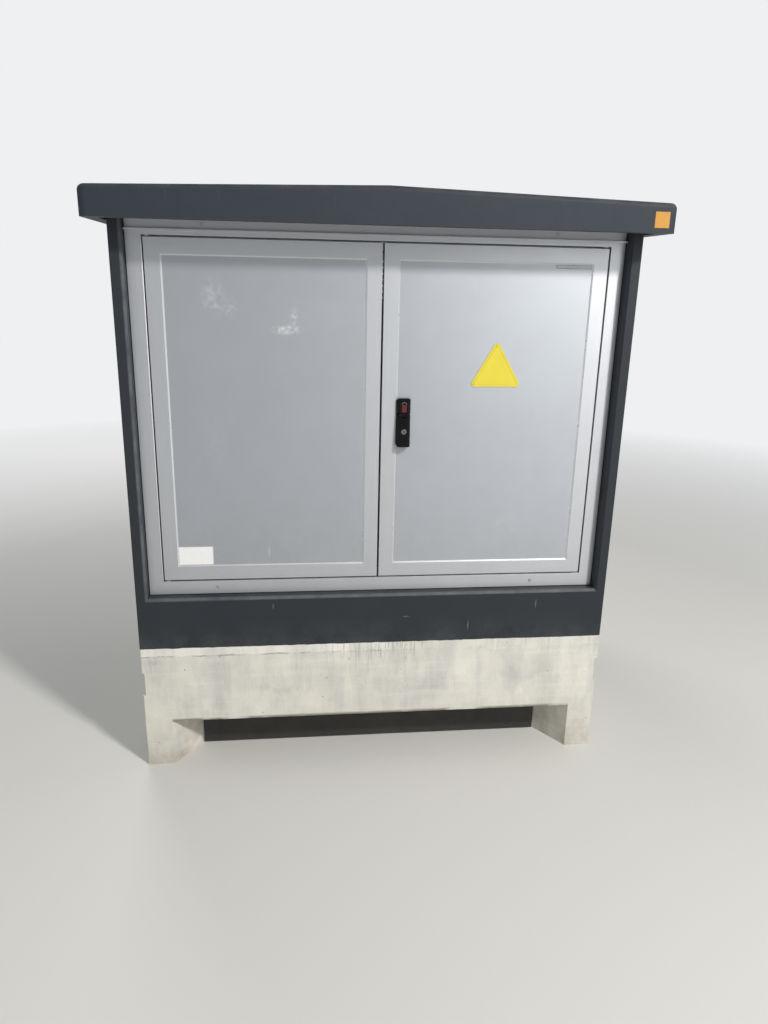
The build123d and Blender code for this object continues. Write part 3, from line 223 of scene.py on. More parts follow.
def effect(name, gives="Mask", kind="Float", **takes):
    group = bpy.data.node_groups.new(name, "ShaderNodeTree")
    group.interface.new_socket("Vector", in_out="INPUT", socket_type="NodeSocketVector")
    for label, value in takes.items():
        socketKind = value if isinstance(value, str) else "Float"
        socket = group.interface.new_socket(label, in_out="INPUT", socket_type="NodeSocket" + socketKind)
        if socketKind == "Float":
            socket.default_value = value
    group.interface.new_socket(gives, in_out="OUTPUT", socket_type="NodeSocket" + kind)

    def fill(build):
        given = group.nodes.new("NodeGroupInput").outputs
        feed(group.nodes.new("NodeGroupOutput").inputs[gives], build(given["Vector"], given))
        return group
    return fill


def place(group, spot, **values):
    return feedAll("ShaderNodeGroup", ("Vector", *values), (spot, *values.values()), node_tree=group)[0]


# Shared effects: tone, grain, streaks, dust, soft marks, pinholes and borders

@effect("Cloudy tone", "Colour", "Color", Scale=3.0, Plain="Color", Other="Color", Amount=0.5)
def cloudyTone(spot, given):
    wide = noise(spot, given["Scale"], 4.0, 0.55)
    finer = noise(spot, times(given["Scale"], 5.3), 3.0, 0.6)
    both = plus(times(wide, 0.68), times(finer, 0.32))
    factor = times(spread(both, 0.36, 0.64), given["Amount"])
    return blendColour(factor, given["Plain"], given["Other"])


@effect("Fine grain", "Height", Scale=400.0, Pits=0.0)
def fineGrain(spot, given):
    grain = noise(spot, given["Scale"], 3.0, 0.6)
    pits = spread(cells(spot, times(given["Scale"], 0.3))["Distance"], 0.05, 0.3, 1.0, 0.0)
    return minus(grain, times(pits, given["Pits"]))


@effect("Streaks below a line", Line=0.0, Length=0.2, Narrow=30.0, Cover=0.5)
def streaks(spot, given):
    across = vectorMath("MULTIPLY", spot, (1.0, 1.0, 0.06))
    lines = noise(across, given["Narrow"], 3.0, 0.7)
    runs = noise(across, times(given["Narrow"], 0.35), 2.0, 0.5)
    drop = minus(given["Line"], split(spot)["Z"])
    reach = times(given["Length"], spread(runs, 0.35, 0.65, 0.2, 1.0))
    fade = spread(calc("DIVIDE", drop, reach), 0.0, 1.0, 1.0, 0.0)
    below = spread(drop, -0.001, 0.002)
    cut = minus(0.75, times(given["Cover"], 0.4))
    thread = spread(lines, cut, plus(cut, 0.12))
    return times(times(thread, fade), below)


@effect("Dust", Ground=0.0, Height=0.3, Ledges=0.6)
def dust(spot, given):
    ledges = times(spread(facingUp(spot), 0.25, 0.9), given["Ledges"])
    low = spread(minus(split(spot)["Z"], given["Ground"]), 0.0, given["Height"], 1.0, 0.0)
    breakUp = spread(noise(spot, 9.0, 5.0, 0.65), 0.38, 0.66)
    return times(plus(ledges, low), breakUp, clamp=True)


@effect("Soft mark", Centre="Vector", Size="Vector", Broken=60.0)
def softMark(spot, given):
    scaled = vectorMath("DIVIDE", vectorMath("SUBTRACT", spot, given["Centre"]), given["Size"])
    blot = spread(vectorMath("LENGTH", scaled, (0, 0, 0)), 0.25, 1.0, 1.0, 0.0)
    holes = spread(noise(spot, given["Broken"], 3.0, 0.6), 0.42, 0.62)
    return times(blot, holes)


@effect("Pinholes", Scale=24.0, Widest=0.06)
def pinholes(spot, given):
    spots = cells(spot, given["Scale"])
    radius = times(spread(split(spots["Color"])["Y"], 0.5, 1.0), given["Widest"])
    return spread(minus(radius, spots["Distance"]), 0.0, 0.012)


@effect("Border line", Centre="Vector", Half="Vector", Inset=0.001, Width=0.001)
def border(spot, given):
    across = split(vectorMath("SUBTRACT", spot, given["Centre"]))
    half = split(given["Half"])
    gaps = [minus(half[axis], calc("ABSOLUTE", across[axis])) for axis in ("X", "Z")]
    edge = minus(calc("MINIMUM", *gaps), given["Inset"])
    return times(calc("GREATER_THAN", edge, 0.0), calc("LESS_THAN", edge, given["Width"]))


def markMasks(spot, marks, y, deep):
    return [times(place(softMark, spot, Centre=(x, y, z), Size=(wide, deep, high), Broken=broken), strength)
            for x, z, wide, high, broken, strength in marks]


# A material starts with the plain shader and is closed with its colour, roughness and relief

def startFinish(name, rough, metal=0.0, gloss=0.5):
    material = bpy.data.materials.new(name)
    material.use_nodes = True
    tree = material.node_tree
    shader = tree.nodes["Principled BSDF"]
    for label, value in (("Roughness", rough), ("Metallic", metal), ("Specular IOR Level", gloss)):
        shader.inputs[label].default_value = value
    return material, addNode(tree, "ShaderNodeTexCoord").outputs["Object"]


def closeFinish(material, colour, rough, height, depth, strength=1.0):
    shader = material.node_tree.nodes["Principled BSDF"]
    relief = feedAll("ShaderNodeBump", ("Height", "Distance", "Strength"), (height, depth, strength))
    feed(shader.inputs["Normal"], relief["Normal"])
    feed(shader.inputs["Base Color"], colour)
    feed(shader.inputs["Roughness"], rough)
    return material


def tone(red, green, blue):
    return tuple((c / 255 / 12.92 if c < 10.3 else ((c / 255 + 0.055) / 1.055) ** 2.4)
                 for c in (red, green, blue)) + (1.0,)


# Concrete: dark paint above the line, bare below it, pale and clean indoors

concreteLook = {
    "paint": tone(38, 43, 48),
    "paintWorn": tone(48, 53, 58),
    "bare": tone(222, 219, 207),
    "bareDark": tone(194, 192, 184),
    "bareGrey": tone(168, 169, 167),
    "barePale": tone(232, 229, 220),
    "indoors": tone(196, 194, 188),
    "soil": tone(150, 128, 100),
    "drip": tone(128, 126, 120),
    "stain": tone(104, 96, 82),
    # Painted highlight: paler colour for the lit left and lower edges of the door recess
    "arrisHighlight": tone(94, 97, 100),
    "front": -0.75,
    "paintLine": 0.528,
    "paintBlur": 0.0008,
    "formLine": 0.492,
    "seamWidth": 0.0034,
    "seamFade": (-0.1, 0.25, 0.85, 0.12),
    "seamBreaks": (12, 12, 40),
    "frontFade": (-0.70, -0.74),
    "paleFade": (-0.1, 0.2, 0.6, 0.1),
    "runsLeft": (-0.25, -0.17),
    "runsRight": (0.24, 0.15),
    "rubShape": (13, 13, 3),
    "bandShape": (2.5, 2.5, 34),
    "scuffShape": (60, 60, 14),
    "lipLevel": 0.202,
    "lipFade": (0.002, 0.011, 0.8, 0.0),
    "lipBreaks": (9, 9, 30),
    "lipEnds": (0.845, 0.835),
    "splashTop": 0.26,
    "roomFloor": 0.09,
    "relief": 0.0011,
    "roomSide": 0.8705,
    "roomFront": -0.601,
    "roomBack": 0.6705,
    "roomTop": 2.164,
}


def roomMask(x, y, z):
    look = concreteLook
    side = calc("LESS_THAN", calc("ABSOLUTE", x), look["roomSide"])
    behind = calc("GREATER_THAN", y, look["roomFront"])
    before = calc("LESS_THAN", y, look["roomBack"])
    under = calc("LESS_THAN", z, look["roomTop"])
    return times(times(side, behind), times(before, under))


# Paint: a paler line on the left and lower edges of the door recess, a painted highlight where those edges
# face the light, broken up by noise; and a few scratches

arrisLook = {"half": 0.909, "bottom": 0.736, "front": -0.745, "width": 0.008, "over": 0.004, "behind": 0.008,
             "breaks": (14, 14, 14)}
paintScratches = [
    (0.657, 0.683, 0.003, 0.024, 700.0, 0.5),
    (0.375, 0.595, 0.0035, 0.028, 700.0, 0.45),
    (0.115, 0.640, 0.018, 0.004, 700.0, 0.35),
    (-0.420, 0.700, 0.004, 0.014, 700.0, 0.35),
]


# Painted highlight: a paler line only along the left jamb and the sill of the recess, the edges that face
# the light
def arrisHighlightLine(spot, x, y, z):
    look = arrisLook
    beside = distance(x, -look["half"])
    above = distance(z, look["bottom"])
    beside = plus(beside, calc("LESS_THAN", z, look["bottom"] - look["over"]))
    outside = calc("GREATER_THAN", calc("ABSOLUTE", x), look["half"] + look["over"])
    near = calc("MINIMUM", beside, plus(above, outside))
    line = spread(near, look["width"] * 0.3, look["width"], 1.0, 0.0)
    line = times(line, calc("LESS_THAN", y, look["front"] + look["behind"]))
    highlightBreaks = spread(noise(spot, 1.0, 5.0, 0.6, look["breaks"]), 0.3, 0.65, 0.3, 0.85)
    return times(line, highlightBreaks)


# Marks on the bare front: thin runs, grey rubbed patches, pale bands and a stained lip over the niche

castSmudges = [
    (0.560, 0.375, 0.12, 0.10, 9.0, 0.5),
    (0.700, 0.345, 0.10, 0.08, 12.0, 0.4),
    (-0.900, 0.470, 0.06, 0.022, 40.0, 0.7),
    (-0.380, 0.330, 0.16, 0.035, 24.0, 0.35),
    (0.230, 0.330, 0.20, 0.05, 20.0, 0.4),
    (-0.700, 0.260, 0.12, 0.06, 22.0, 0.4),
    (0.480, 0.485, 0.14, 0.03, 30.0, 0.4),
]


def castMarks(spot, x, y, z, bare):
    look = concreteLook
    front = spread(y, *look["frontFade"])
    pale = calc("GREATER_THAN", z, look["formLine"])
    pale = times(pale, spread(x, *look["paleFade"]))
    bare = tint(bare, pale, front, look["barePale"])
    window = times(spread(x, *look["runsLeft"]), spread(x, *look["runsRight"]))
    runs = place(streaks, spot, Line=look["paintLine"], Length=0.2, Narrow=120.0, Cover=0.6)
    runs = times(times(runs, window), front)
    bare = tint(bare, runs, 0.7, look["drip"])
    rubs = noise(spot, 1.0, 5.0, 0.62, look["rubShape"])
    bare = blendColour(spread(rubs, 0.44, 0.66, 0.0, 0.42), bare, look["bareGrey"])
    bands = noise(spot, 1.0, 4.0, 0.6, look["bandShape"])
    bare = blendColour(spread(bands, 0.5, 0.7, 0.0, 0.26), bare, look["barePale"])
    for mask in markMasks(spot, castSmudges, look["front"], 0.03):
        bare = blendColour(mask, bare, look["bareGrey"])
    lip = spread(distance(z, look["lipLevel"]), *look["lipFade"])
    lip = times(lip, spread(noise(spot, 1.0, stretch=look["lipBreaks"]), 0.35, 0.5))
    lip = times(lip, spread(calc("ABSOLUTE", x), *look["lipEnds"]))
    return tint(bare, lip, front, look["stain"])


def bareConcrete(spot, x, y, z, wander):
    look = concreteLook
    bare = place(cloudyTone, spot, Scale=3.2, Plain=look["bare"], Other=look["bareDark"], Amount=0.7)
    fall = place(streaks, spot, Line=look["paintLine"], Length=0.19, Narrow=34.0, Cover=0.45)
    bare = tint(bare, fall, 0.35, look["drip"])
    bare = castMarks(spot, x, y, z, bare)
    seam = calc("COMPARE", plus(z, times(wander, 1.6)), look["formLine"])
    seam.node.inputs[2].default_value = look["seamWidth"]
    breaks = spread(noise(spot, 1.0, 5.0, 0.75, look["seamBreaks"]), 0.46, 0.62)
    bare = tint(bare, times(seam, breaks), spread(x, *look["seamFade"]), look["drip"])
    splash = place(dust, spot, Ground=0.0, Height=look["splashTop"], Ledges=0.3)
    return tint(bare, splash, 0.55, look["soil"])


def roomConcrete(spot):
    look = concreteLook
    colour = place(cloudyTone, spot, Scale=2.0, Plain=look["indoors"], Other=look["bareDark"], Amount=0.35)
    settled = place(dust, spot, Ground=look["roomFloor"], Height=0.15, Ledges=0.7)
    return tint(colour, settled, 0.4, look["drip"])


def paintedConcrete(spot, x, y, z):
    look = concreteLook
    coat = place(cloudyTone, spot, Scale=5.5, Plain=look["paint"], Other=look["paintWorn"], Amount=0.22)
    film = place(dust, spot, Ground=look["paintLine"], Height=0.12, Ledges=0.8)
    coat = tint(coat, film, 0.05, look["bareDark"])
    scuffs = noise(spot, 1.0, 4.0, 0.7, look["scuffShape"])
    coat = blendColour(spread(scuffs, 0.72, 0.82, 0.0, 0.3), coat, look["bareDark"])
    for mask in markMasks(spot, paintScratches, look["front"], 0.01):
        coat = blendColour(mask, coat, look["bareDark"])
    # The paler line round the recess is a painted highlight
    return blendColour(arrisHighlightLine(spot, x, y, z), coat, look["arrisHighlight"])


def castConcrete():
    look = concreteLook
    material, spot = startFinish("Cast concrete, half painted", 0.8, gloss=0.3)
    x, y, z = split(spot)
    inside = roomMask(x, y, z)
    wander = times(minus(noise(spot, 26.0, 3.0), 0.5), 0.006)
    above = spread(plus(z, wander), look["paintLine"] - look["paintBlur"],
                   look["paintLine"] + look["paintBlur"])
    painted = times(above, minus(1.0, inside))
    colour = blendColour(inside, bareConcrete(spot, x, y, z, wander), roomConcrete(spot))
    holes = place(pinholes, spot, Scale=24.0, Widest=0.075)
    colour = tint(colour, holes, 0.7, look["stain"])
    colour = blendColour(painted, colour, paintedConcrete(spot, x, y, z))
    satin = spread(noise(spot, 7.0), 0.3, 0.7, 0.52, 0.58)
    pits = place(fineGrain, spot, Scale=260.0, Pits=0.9)
    roller = place(fineGrain, spot, Scale=420.0, Pits=0.1)
    pits = minus(pits, times(holes, 1.5))
    height = plus(times(painted, times(roller, 0.25)), times(minus(1.0, painted), pits))
    rough = spread(painted, 0.0, 1.0, 0.86, satin)
    return closeFinish(material, colour, rough, height, look["relief"], 0.6)


# Roof: dark paint with dust on top, and an underside in a dark grey that is painted shade under the overhang

roofLook = {
    "coat": tone(39, 45, 52),
    "coatWorn": tone(48, 54, 61),
    "dusty": tone(128, 122, 112),
    # Painted shade: dark grey standing for the shade on the underside of the overhang
    "undersideShade": tone(74, 74, 72),
    "upperEdge": 2.222,
    "undersideTop": 2.2,
}


def roofConcrete():
    look = roofLook
    material, spot = startFinish("Roof concrete, painted", 0.5, gloss=0.35)
    coat = place(cloudyTone, spot, Scale=2.2, Plain=look["coat"], Other=look["coatWorn"], Amount=0.4)
    settled = place(dust, spot, Ground=0.0, Height=0.01, Ledges=1.0)
    coat = tint(coat, settled, 0.22, look["dusty"])
    fall = place(streaks, spot, Line=look["upperEdge"], Length=0.09, Narrow=40.0, Cover=0.3)
    coat = tint(coat, fall, 0.14, look["dusty"])
    # Faces turned down below the top take the underside grey, a painted shade
    under = place(cloudyTone, spot, Scale=4.0, Plain=look["undersideShade"], Other=look["coatWorn"], Amount=0.5)
    coat = tint(coat, spread(facingUp(spot), -0.6, -0.4, 1.0, 0.0),
                calc("LESS_THAN", split(spot)["Z"], look["undersideTop"]), under)
    matt = spread(noise(spot, 40.0), 0.3, 0.7, 0.64, 0.68)
    rough = plus(matt, times(settled, 0.05))
    grain = place(fineGrain, spot, Scale=300.0, Pits=0.3)
    return closeFinish(material, coat, rough, grain, 0.0005, 0.5)


# Silver anodised aluminium: extrusions with die lines, sheet with handling marks

aluminiumLook = {
    "silver": tone(190, 192, 195),
    "shade": tone(172, 175, 180),
    "sheet": tone(173, 177, 182),
    "sheetShade": tone(162, 165, 170),
    "grime": tone(120, 116, 108),
    "pale": tone(226, 228, 230),
    "metal": 0.64,
    "rough": 0.48,
    "grain": 0.46,
    "grainTurn": 0.25,
    "doorFront": -0.7005,
    "headLevel": 2.08,
    "fallLength": 1.1,
    "relief": 0.00012,
}
handMarks = [
    (-0.610, 1.880, 0.055, 0.085, 55.0, 0.34),
    (-0.555, 1.845, 0.035, 0.05, 70.0, 0.25),
    (-0.350, 1.772, 0.065, 0.022, 60.0, 0.8),
    (-0.325, 1.815, 0.018, 0.055, 80.0, 0.45),
    (-0.432, 0.912, 0.0040, 0.036, 900.0, 0.95),
    (-0.620, 1.35, 0.05, 0.16, 40.0, 0.08),
    (0.52, 1.02, 0.09, 0.05, 45.0, 0.08),
]


def anodised(name, lines, marks=(), grimeLine=0.74, plain="silver", other="shade"):
    look = aluminiumLook
    material, spot = startFinish(name, look["rough"], look["metal"])
    shader = material.node_tree.nodes["Principled BSDF"]
    shader.inputs["Anisotropic"].default_value = look["grain"]
    shader.inputs["Anisotropic Rotation"].default_value = look["grainTurn"]
    colour = place(cloudyTone, spot, Scale=1.1, Plain=look[plain], Other=look[other], Amount=0.16)
    drawn = noise(spot, 1.0, 4.0, 0.65, lines)
    colour = blendColour(spread(drawn, 0.35, 0.75, 0.0, 0.35), colour, look[other])
    fall = place(streaks, spot, Line=look["headLevel"], Length=look["fallLength"], Narrow=24.0, Cover=0.12)
    colour = tint(colour, fall, 0.10, look["grime"])
    film = place(dust, spot, Ground=grimeLine, Height=0.3, Ledges=0.7)
    colour = tint(colour, film, 0.10, look["grime"])
    rough = spread(noise(spot, 16.0, 4.0), 0.3, 0.7, look["rough"] - 0.02, look["rough"] + 0.03)
    masks = markMasks(spot, marks, look["doorFront"], 0.0026)
    if masks:
        smears = masks[0]
        for mask in masks[1:]:
            smears = calc("MAXIMUM", smears, mask)
        colour = blendColour(smears, colour, look["pale"])
        rough = plus(rough, times(smears, 0.25))
    rough = plus(rough, times(film, 0.08))
    peel = place(fineGrain, spot, Scale=900.0, Pits=0.0)
    height = plus(times(peel, 0.5), drawn)
    return closeFinish(material, colour, rough, height, look["relief"], 0.3)


# Plain coatings, plastics and metals for the smaller pieces

dustTint = (0.30, 0.27, 0.22, 1.0)


def settledDust(spot):
    return place(dust, spot, Ground=-1.0, Height=0.01, Ledges=1.0)


def simpleFinish(name, plain, other, rough, metal=0.0, scale=12.0, amount=0.5, grain=500.0, depth=0.0001,
                 dusty=0.25, gloss=0.5):
    material, spot = startFinish(name, rough, metal, gloss)
    colour = place(cloudyTone, spot, Scale=scale, Plain=tone(*plain), Other=tone(*other), Amount=amount)
    film = settledDust(spot)
    colour = tint(colour, film, dusty, dustTint)
    uneven = spread(noise(spot, scale * 2.0), 0.3, 0.7, rough * 0.85, min(1.0, rough * 1.2))
    uneven = plus(uneven, times(film, 0.2))
    peel = place(fineGrain, spot, Scale=grain, Pits=0.0)
    return closeFinish(material, colour, uneven, peel, depth, 0.6)


def galvanised():
    material, spot = startFinish("Galvanised steel", 0.42, 0.7)
    flakes = cells(spot, 130.0)
    shine = split(flakes["Color"])["X"]
    colour = blendColour(shine, tone(158, 162, 164), tone(186, 189, 190))
    colour = place(cloudyTone, spot, Scale=6.0, Plain=colour, Other=tone(138, 138, 134), Amount=0.3)
    rough = spread(shine, 0.0, 1.0, 0.34, 0.52)
    return closeFinish(material, colour, rough, flakes["Distance"], 0.00008, 0.4)


# Blank plates: label and strip with a fine border, yellow triangle with a fine rim

def borderedFinish(name, plain, other, line, centre, half, inset, width):
    material, spot = startFinish(name, 0.4)
    colour = place(cloudyTone, spot, Scale=30.0, Plain=tone(*plain), Other=tone(*other), Amount=0.6)
    mask = place(border, spot, Centre=centre, Half=half, Inset=inset, Width=width)
    colour = blendColour(mask, colour, tone(*line))
    uneven = spread(noise(spot, 60.0), 0.3, 0.7, 0.34, 0.48)
    return closeFinish(material, colour, uneven, place(fineGrain, spot, Scale=1200.0, Pits=0.0), 0.00003)


signLook = {"middle": (0.440, -0.7035, 1.6267), "reach": 0.0577, "rim": 0.0068, "rimWidth": 0.0016,
            "relief": 0.0006, "sides": (-90, 30, 150)}


def yellowPlate():
    look = signLook
    material, spot = startFinish("Yellow plate", 0.36)
    colour = place(cloudyTone, spot, Scale=14.0, Plain=tone(212, 196, 58), Other=tone(200, 182, 50),
                   Amount=0.4)
    offset = vectorMath("SUBTRACT", spot, look["middle"])
    gap = look["reach"]
    for turn in look["sides"]:
        outward = (math.cos(math.radians(turn)), 0, math.sin(math.radians(turn)))
        side = minus(look["reach"], vectorMath("DOT_PRODUCT", offset, outward))
        gap = calc("MINIMUM", gap, side)
    rim = spread(distance(gap, look["rim"]), 0.0, look["rimWidth"], 1.0, 0.0)
    colour = tint(colour, rim, 0.5, tone(146, 126, 36))
    return closeFinish(material, colour, 0.36, times(rim, -1.0), look["relief"], 0.8)


# Raised lozenges on the floor plates

treadLook = {"pitch": 0.045, "relief": 0.0012}


def treadPlate():
    material, spot = startFinish("Tread plate", 0.44, 0.7)
    x, y = split(spot)["X"], split(spot)["Y"]
    waves = [calc("SINE", times(calc(way, x, y), 2 * math.pi / treadLook["pitch"]))
             for way in ("ADD", "SUBTRACT")]
    rows = []
    for along, across in (waves, waves[::-1]):
        ridge = spread(calc("ABSOLUTE", across), 0.35, 0.2)
        rows.append(times(ridge, spread(along, 0.0, 0.45)))
    raised = calc("MAXIMUM", rows[0], rows[1])
    colour = place(cloudyTone, spot, Scale=9.0, Plain=tone(150, 153, 155), Other=tone(128, 129, 128),
                   Amount=0.5)
    colour = tint(colour, settledDust(spot), 0.35, tone(128, 118, 100))
    colour = blendColour(raised, colour, tone(184, 187, 188))
    return closeFinish(material, colour, 0.44, raised, treadLook["relief"], 0.8)


# All finishes: the plain coatings are rows, the others have a function each

coatings = {
    # Bead aluminium: polished, and paler than the door aluminium as a painted highlight on the bead
    "bead": ("Bead aluminium, paler as painted highlight", (212, 214, 217), (198, 200, 203), 0.3,
        dict(metal=0.5, scale=10, grain=900, depth=0.00003)),
    "louvre_aluminium": ("Louvre aluminium", (176, 179, 182), (150, 153, 156), 0.45,
        dict(metal=0.45, scale=8, dusty=0.5)),
    "black_rubber": ("Black rubber", (28, 28, 29), (44, 43, 42), 0.75,
        dict(scale=20, grain=700, depth=0.00015)),
    "handle_black": ("Handle plastic", (9, 9, 10), (18, 18, 19), 0.26,
        dict(scale=30, grain=1400, depth=0.00004, dusty=0.04, gloss=0.16)),
    "red_insert": ("Red insert", (98, 17, 20), (78, 12, 14), 0.3,
        dict(scale=60, grain=1400, depth=0.00003)),
    "lock_chrome": ("Lock chrome", (128, 130, 134), (100, 102, 106), 0.16,
        dict(metal=0.95, scale=80, amount=0.4, grain=2000, depth=0.00002)),
    "lock_brass": ("Lock brass", (138, 126, 98), (108, 96, 72), 0.3,
        dict(metal=0.9, scale=80, grain=2000, depth=0.00002)),
    "marker_amber": ("Amber plate", (184, 132, 26), (164, 110, 20), 0.35,
        dict(scale=30, amount=0.6, grain=900, depth=0.00003)),
    # Entry plate: a dark coating, darkened further as painted shade for the back of the niche
    "entry_grey": ("Entry plate coating, darkened as painted shade", (44, 44, 43), (62, 58, 52), 0.6,
        dict(scale=7, amount=0.6, depth=0.0002, dusty=0.6)),
    "tank_paint": ("Tank paint", (104, 122, 114), (92, 108, 102), 0.38,
        dict(scale=4, grain=240, depth=0.00015, dusty=0.5)),
    "bushing_epoxy": ("Bushing resin", (118, 62, 48), (98, 50, 40), 0.35,
        dict(scale=20, grain=900, depth=0.00005)),
    "bushing_porcelain": ("Brown glaze", (104, 58, 38), (82, 42, 28), 0.12,
        dict(scale=24, grain=60)),
    "knob_black": ("Knob plastic", (34, 34, 35), (48, 48, 48), 0.35,
        dict(scale=30, grain=1200, depth=0.00004)),
    "sheet_grey": ("Light grey powder coat", (204, 206, 200), (190, 192, 186), 0.45,
        dict(scale=3, grain=620, dusty=0.35)),
    "copper_bar": ("Copper bar", (186, 128, 100), (140, 92, 72), 0.34,
        dict(metal=0.85, scale=14, amount=0.8, grain=800, depth=0.00004)),
    "fuse_grey": ("Fuse base plastic", (146, 149, 151), (130, 133, 135), 0.5,
        dict(scale=10, grain=800, depth=0.00008)),
    "fuse_lid": ("Fuse lid plastic", (100, 104, 108), (84, 88, 92), 0.3,
        dict(scale=14, grain=1000, depth=0.00004)),
}
finishes = {
    "tread": treadPlate(),
    "cast_concrete": castConcrete(),
    "roof_concrete": roofConcrete(),
    "upright": anodised("Anodised aluminium, upright", (260, 260, 2)),
    "level": anodised("Anodised aluminium, level", (2, 260, 260)),
    "sheet_aluminium": anodised("Door sheet", (5, 5, 5), handMarks, 0.84, "sheet", "sheetShade"),
    "galvanised_steel": galvanised(),
    "sign_yellow": yellowPlate(),
    "label_white": borderedFinish("White label", (232, 232, 231), (224, 223, 220), (206, 200, 190),
                                  (-0.7165, -0.7005, 0.9012), (0.0665, 1.0, 0.0378), 0.0, 0.0022),
    "strip_silver": borderedFinish("Silver strip", (176, 178, 182), (160, 163, 168), (62, 68, 88),
                                   (0.7138, -0.701, 2.0138), (0.0678, 1.0, 0.0068), 0.0006, 0.0014),
}
for slotName, (label, plain, other, roughness, more) in coatings.items():
    finishes[slotName] = simpleFinish(label, plain, other, roughness, **more)
print("Finishes made:", len(finishes))


# Every node of the frame gets its finish

levelPieces = ("frame_sill", "frame_head", "drip_bar")


def finishOf(nodeName):
    if nodeName == "floor_plates":
        return finishes["tread"]
    if slotOf[nodeName] == "anodised_aluminium":
        return finishes["level" if nodeName in levelPieces or nodeName.endswith("_rail") else "upright"]
    return finishes[slotOf[nodeName]]


for nodeName, node in nodes.items():
    if not node.material_slots:
        node.data.materials.append(finishOf(nodeName))
    for materialSlot in node.material_slots:
        materialSlot.material = finishOf(nodeName)
print("Slots:", sorted(set(slotOf.values())))


# Rounded copies of the pieces whose edges are seen

edgeWidths = {
    "housing": 0.004, "roof": 0.006,
    "frame_sill": 0.0012, "frame_head": 0.0012, "frame_jamb_left": 0.0012, "frame_jamb_right": 0.0012,
    "drip_bar": 0.001,
    "right_bottom_rail": 0.0012, "right_top_rail": 0.0012, "right_lock_stile": 0.0012,
    "right_hinge_stile": 0.0012, "right_panel": 0.0006,
    "left_bottom_rail": 0.0012, "left_top_rail": 0.0012, "left_lock_stile": 0.0012,
    "left_hinge_stile": 0.0012, "left_panel": 0.0006,
    "handle_base": 0.0012, "handle_hub": 0.001, "handle_lever": 0.0018, "handle_insert": 0.0008,
    "sign_plate": 0.0004, "info_label": 0.0, "name_strip": 0.0002, "roof_marker": 0.0004,
    "entry_plate": 0.001, "frame_screws": 0.0004,
    "switchgear_cabinet": 0.0014, "switchgear_panel": 0.001, "switchgear_cover": 0.0014,
    "operating_shaft_1": 0.0006, "operating_shaft_2": 0.0006,
    "lv_rack": 0.001, "busbars": 0.0006, "fuse_bases": 0.001,
    "fuse_lid_1": 0.0014, "fuse_lid_2": 0.0014, "fuse_lid_3": 0.0014,
    "transformer_tank": 0.0016, "transformer_lid": 0.0016, "tap_knob": 0.001,
    "hv_bushings": 0.0, "lv_bushings": 0.0,
    "floor_plates": 0.0008, "earth_bar": 0.0006, "rear_louvres": 0.0006,
    "lock_cylinder": 0.0005, "key_plug": 0.0003, "lock_case": 0.0008,
    "right_door_stay": 0.0006, "left_door_stay": 0.0006, "hinge_pins": 0.0006,
    "roof_anchors": 0.0008,
}
doorLook = {"face": -0.705, "memberWidth": 0.055, "frameArris": 0.0022, "trim": 0.0054, "bead": 0.005,
            "beadFront": -0.7044, "beadBack": -0.6997, "beadSink": 0.0045}


def slopeFrameEdge(piece):
    face = doorLook["face"]
    points = piece.data.vertices
    near = min(abs(point.co.x) for point in points if abs(point.co.y - face) < 0.0002)
    pick(piece, piece.data.edges, lambda edge: all(
        abs(abs(points[index].co.x) - near) < 0.0003 and abs(points[index].co.y - face) < 0.0003
        for index in edge.vertices))
    takeUp(piece)
    editMode("EDGE")
    bpy.ops.mesh.bevel(offset=doorLook["frameArris"], segments=1, affect="EDGES")
    objectMode()


def shiftEdge(piece, axis, level, step):
    pick(piece, piece.data.vertices, lambda point: abs(point.co[axis] - level) < 0.0004)
    takeUp(piece)
    editMode("VERT")
    bpy.ops.transform.translate(value=[step if index == axis else 0.0 for index in range(3)])
    objectMode()


for nodeName, width in edgeWidths.items():
    piece = mergedCopy(nodeName)
    low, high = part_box(nodeName)
    if nodeName == "frame_jamb_left":
        slopeFrameEdge(piece)
    if nodeName == "info_label":
        shiftEdge(piece, 2, low[2], doorLook["trim"])
    if nodeName == "name_strip":
        shiftEdge(piece, 2, high[2], -doorLook["trim"])
        shiftEdge(piece, 0, high[0], -doorLook["trim"])
    roundEdges(piece, width)
    dress(piece, bodyOf[nodeName], finishOf(nodeName))
    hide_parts(nodeName)
print("Rounded pieces:", len(edgeWidths))


# Modelling of the small pieces: bars, studs and screws with their washers

forward = (0, -1, 0)
rearward = (0, 1, 0)
upward = (0, 0, 1)


def addBar(low, high, edge=0.0006):
    clearSelection()
    middle = [(a + b) / 2 for a, b in zip(low, high)]
    bpy.ops.mesh.primitive_cube_add(size=1, location=middle)
    bar = bpy.context.object
    bar.scale = [b - a for a, b in zip(low, high)]
    settle(bar)
    if edge > 0:
        editMode()
        bpy.ops.mesh.select_all(action="SELECT")
        bpy.ops.mesh.bevel(offset=edge, segments=2, affect="EDGES")
        objectMode()
    return bar


def addStud(foot, direction, radius, height, sides=24, hollow=0.0, sink=0.0, edge=0.0005):
    clearSelection()
    way = Vector(direction).normalized()
    middle = Vector(foot) + way * height / 2
    bpy.ops.mesh.primitive_cylinder_add(vertices=sides, radius=radius, depth=height, location=middle,
                                        rotation=way.to_track_quat("Z", "Y").to_euler())
    stud = bpy.context.object
    settle(stud)
    pickFaces(stud, lambda face: face.normal.dot(way) > 0.99)
    editMode()
    if hollow:
        bpy.ops.mesh.inset(thickness=radius - hollow)
        bpy.ops.mesh.extrude_region_move(TRANSFORM_OT_translate={"value": way * -sink})
    else:
        bpy.ops.mesh.inset(thickness=edge * 1.5)
        bpy.ops.transform.translate(value=way * edge)
    objectMode()
    return stud


